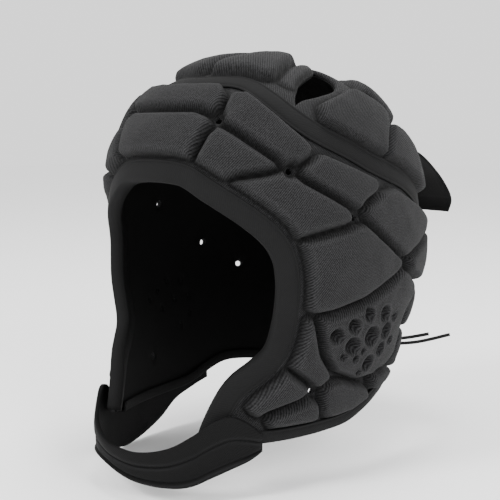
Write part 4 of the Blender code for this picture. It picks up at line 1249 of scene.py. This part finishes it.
# %% rear strap seams and wave
EDGE_ROUND, HEM_SEAM, HEM_DIP, HEM_DIP_WIDTH = 0.0016, 0.0105, 0.00035, 0.0007
SIDE_SEAM, SIDE_DIP, SIDE_DIP_WIDTH = 0.0035, 0.0003, 0.0006
WAVE_HEIGHT, WAVE_PITCH = 0.0005, 0.016
edge_x = np.minimum(np.arange(ACROSS), np.arange(ACROSS)[::-1]) * (2 * TONGUE_HALF_WIDTH / (ACROSS - 1))
edge_y = np.minimum(row_length, tall - row_length)
edge = np.minimum(edge_x[None, :], edge_y[:, None])
puff = np.sqrt(np.clip(1 - (1 - np.clip(edge / EDGE_ROUND, 0, 1)) ** 2, 0.05, 1))
pressed = HEM_DIP * np.exp(-((tall - row_length - HEM_SEAM) / HEM_DIP_WIDTH) ** 2)[:, None]
pressed = pressed + SIDE_DIP * np.exp(-((edge_x - SIDE_SEAM) / SIDE_DIP_WIDTH) ** 2)[None, :]
wave = np.array([[noise.noise(Vector((j * 0.11, along / WAVE_PITCH, 5.0))) for j in range(ACROSS)]
                 for along in row_length])
free_share = np.clip((row_length / tall - 0.2) / 0.3, 0, 1)[:, None]
unit_out = thickness / np.linalg.norm(thickness, axis=2, keepdims=True)
half_thick = np.linalg.norm(thickness, axis=2) / 2 * puff - pressed
centre = centre + unit_out * (wave * WAVE_HEIGHT * free_share)[..., None]
front_side = centre + unit_out * half_thick[..., None]
back_side = centre - unit_out * half_thick[..., None]
print("deepest seam", round(float(pressed.max()), 5), "m")

# %% rear strap
verts = np.vstack([front_side.reshape(-1, 3), back_side.reshape(-1, 3)])
flat_x = np.linspace(-TONGUE_HALF_WIDTH, TONGUE_HALF_WIDTH, ACROSS)
places = np.stack(np.meshgrid(flat_x, row_length), -1).reshape(-1, 2)
count = ROWS * ACROSS
faces = []
for i in range(ROWS - 1):
    for j in range(ACROSS - 1):
        a = i * ACROSS + j
        quad = (a, a + 1, a + ACROSS + 1, a + ACROSS)
        faces += [quad, tuple(count + k for k in reversed(quad))]
border = list(range(ACROSS)) + [i * ACROSS + ACROSS - 1 for i in range(1, ROWS)]
border += [(ROWS - 1) * ACROSS + j for j in range(ACROSS - 2, -1, -1)]
border += [i * ACROSS for i in range(ROWS - 2, 0, -1)]
faces += [(a, count + a, count + b, b) for a, b in zip(border, border[1:] + border[:1])]
# painted shade in the pressed hem and side seams, on both faces
painted_marks = np.tile(np.clip(pressed / HEM_DIP, 0, 1).ravel() * 0.8, 2)
rear = new_piece("rear_band", verts, faces, STRAP, np.vstack([places, places]), {"crease_shade": painted_marks})
finish_piece(rear, ["rear_strap"])
print("rear_band", len(faces), "faces")

# %% [markdown]
# ## Back lace
# A thin cord runs through four holes of the nape, across the split and back, and is tied in the middle. A
# mesh could be swept for it like the bindings, but a round cord has no flat side to keep. A curve with a
# round bevel is enough, and its route stays easy to change: outside over the binding, in through a hole,
# up inside the lining and out again. The left half of the route is written down, and the right half is its
# mirror image.

# %% lace helpers
LACE_DIAMETER, KNOT_RADIUS, LACE_SPACING = 0.0024, 0.0038, 0.0018


def spot(angle, level, lift):
    """A point over the cloth, from an angle, a level and a lift."""
    return Vector(place(from_side, [to_side(angle, level)], lift)[0])


def tube(name, points, stands_for, radius=LACE_DIAMETER / 2, closed=False):
    """A round cord along a line of points."""
    curve = bpy.data.curves.new(name, "CURVE")
    curve.dimensions = "3D"
    curve.bevel_depth = radius
    curve.bevel_resolution = 4
    curve.use_fill_caps = True
    spline = curve.splines.new("POLY")
    spline.points.add(len(points) - 1)
    spline.use_cyclic_u = closed
    for point, p in zip(spline.points, points):
        point.co = (*p, 1)
    spline.use_smooth = True
    curve.materials.append(CORD)
    obj = bpy.data.objects.new(name, curve)
    bpy.context.scene.collection.objects.link(obj)
    return finish_piece(obj, stands_for)


print("lace", LACE_DIAMETER, "m thick")

# %% back lace
OVER_CLOTH = LACE_DIAMETER / 2 + 0.0008
OVER_BINDING = BINDING_CLEAR + BINDING_THICK + LACE_DIAMETER / 2 + 0.0009
LOWER_RUN, UPPER_RUN = (176, 174), (174, 177)
knot = spot(180, LACE_LEVEL_LOW, OVER_BINDING + KNOT_RADIUS * 0.5)
knot.x = 0.0
route = [knot + Vector((KNOT_RADIUS + GAP + step, 0, 0)) for step in (0.0, 0.0014)]
route += [spot(angle, LACE_LEVEL_LOW, OVER_BINDING) for angle in LOWER_RUN]
route += [spot(LACE_HOLE_ANGLE, LACE_LEVEL_LOW, lift) for lift in (OVER_CLOTH, 0.0, -SEAT * 0.8)]
for k in range(5):
    level = LACE_LEVEL_LOW + (LACE_LEVEL_HIGH - LACE_LEVEL_LOW) * k / 4
    route.append(spot(LACE_HOLE_ANGLE, level, -SEAT - OVER_CLOTH))
route += [spot(LACE_HOLE_ANGLE, LACE_LEVEL_HIGH, lift) for lift in (-SEAT * 0.8, 0.0, OVER_CLOTH)]
route += [spot(angle, LACE_LEVEL_HIGH, OVER_BINDING) for angle in UPPER_RUN]
middle_spot = spot(180, LACE_LEVEL_HIGH, OVER_BINDING)
middle_spot.x = 0.0
route = route + [middle_spot] + [Vector((-p.x, p.y, p.z)) for p in reversed(route)]
tube("lace", curve_through([tuple(p) for p in route], LACE_SPACING), ["back_lace"])
print("lace route of", len(route), "points")

# %% [markdown]
# ## Knot and free ends
# The knot is small and hidden in the photograph, so it is a plain round one: a trefoil, the simplest
# closed knot, drawn with sines. The two ends leave it and stand out stiffly. Each is a cord from the knot
# to its bare tip.

# %% knot
KNOT_POINTS, KNOT_SCALE, KNOT_DEPTH = 72, 0.00095, 1.1
trefoil = []
for k in range(KNOT_POINTS):
    t = math.tau * k / KNOT_POINTS
    swing = 2 + math.cos(3 * t)
    loop_point = Vector((swing * math.cos(2 * t), math.sin(3 * t) * KNOT_DEPTH, swing * math.sin(2 * t)))
    trefoil.append(knot + loop_point * KNOT_SCALE)
tube("lace_tie", trefoil, ["lace_knot"], closed=True)
print("knot", round(6 * KNOT_SCALE, 4), "m wide along its middle")

# %% free ends of the lace
TAIL_SPACING = 0.0030

# from the knot: across, back and up
LACE_END_UPPER = [
    (0.0042, 0.0030, 0.0012), (0.019, 0.013, 0.0000), (0.037, 0.025, 0.0012), (0.053, 0.034, 0.0050),
]
LACE_END_LOWER = [
    (0.0042, 0.0030, -0.0012), (0.020, 0.015, -0.0030), (0.042, 0.031, -0.0022), (0.064, 0.044, 0.0045),
]
for name, table, stands_for in (("lace_tail_upper", LACE_END_UPPER, "lace_end_upper"),
                                ("lace_tail_lower", LACE_END_LOWER, "lace_end_lower")):
    clear = Vector(table[0]).normalized() * (KNOT_RADIUS + GAP)
    points = [knot + Vector(p) for p in curve_through([tuple(clear)] + table[1:], TAIL_SPACING)]
    tail = tube(name, points, [stands_for])

# %% [markdown]
# ## Floor
# The photograph has a plain white ground. A curved studio backdrop could be modelled, but a large pale
# plane under the object gives the same soft light from below.

# %% floor
FLOOR_HALF, FLOOR_CLEAR, FLOOR_COLOUR = 4.0, 0.0005, (0.97, 0.97, 0.97, 1)
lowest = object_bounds()[0].z
ground = bmesh.new()
bmesh.ops.create_grid(ground, x_segments=1, y_segments=1, size=FLOOR_HALF)
bmesh.ops.translate(ground, verts=ground.verts, vec=(0, 0, lowest - FLOOR_CLEAR))
mesh = bpy.data.meshes.new("floor")
ground.to_mesh(mesh)
ground.free()
floor = bpy.data.objects.new("floor", mesh)
bpy.context.scene.collection.objects.link(floor)
floor_look, _, floor_shader = new_material("floor", 0.9)
floor_shader.inputs["Base Color"].default_value = FLOOR_COLOUR
mesh.materials.append(floor_look)
print("floor at", round(lowest - FLOOR_CLEAR, 4), "m")

# %% [markdown]
# ## Light
# Product photographs of black cloth are lit softly from several sides, or the folds would turn into one
# dark shape. Three large round lamps and a bright plain world do that: the key lamp from the front makes
# the ribs glint, one at the side shapes the ear pad, and one above draws the crown. No image of a studio
# is needed.

# %% light
WORLD_STRENGTH = 1.5
world = bpy.data.worlds.new("studio")
world.use_nodes = True
world.node_tree.nodes["Background"].inputs[0].default_value = (1, 1, 1, 1)
world.node_tree.nodes["Background"].inputs[1].default_value = WORLD_STRENGTH
bpy.context.scene.world = world


def lamp(name, stands_at, size, power):
    """A round area lamp that points at the object."""
    data = bpy.data.lights.new(name, "AREA")
    data.shape = "DISK"
    data.size, data.energy = size, power
    obj = bpy.data.objects.new(name, data)
    obj.location = stands_at
    obj.rotation_euler = (TARGET - Vector(stands_at)).to_track_quat("-Z", "Y").to_euler()
    bpy.context.scene.collection.objects.link(obj)


lamp("key", (-0.35, -1.30, 0.95), 0.5, 22)
lamp("side", (1.30, -0.35, 0.55), 0.6, 14)
lamp("top", (0.1, 0.2, 1.4), 0.8, 16)
print("3 lamps and a world of strength", WORLD_STRENGTH)
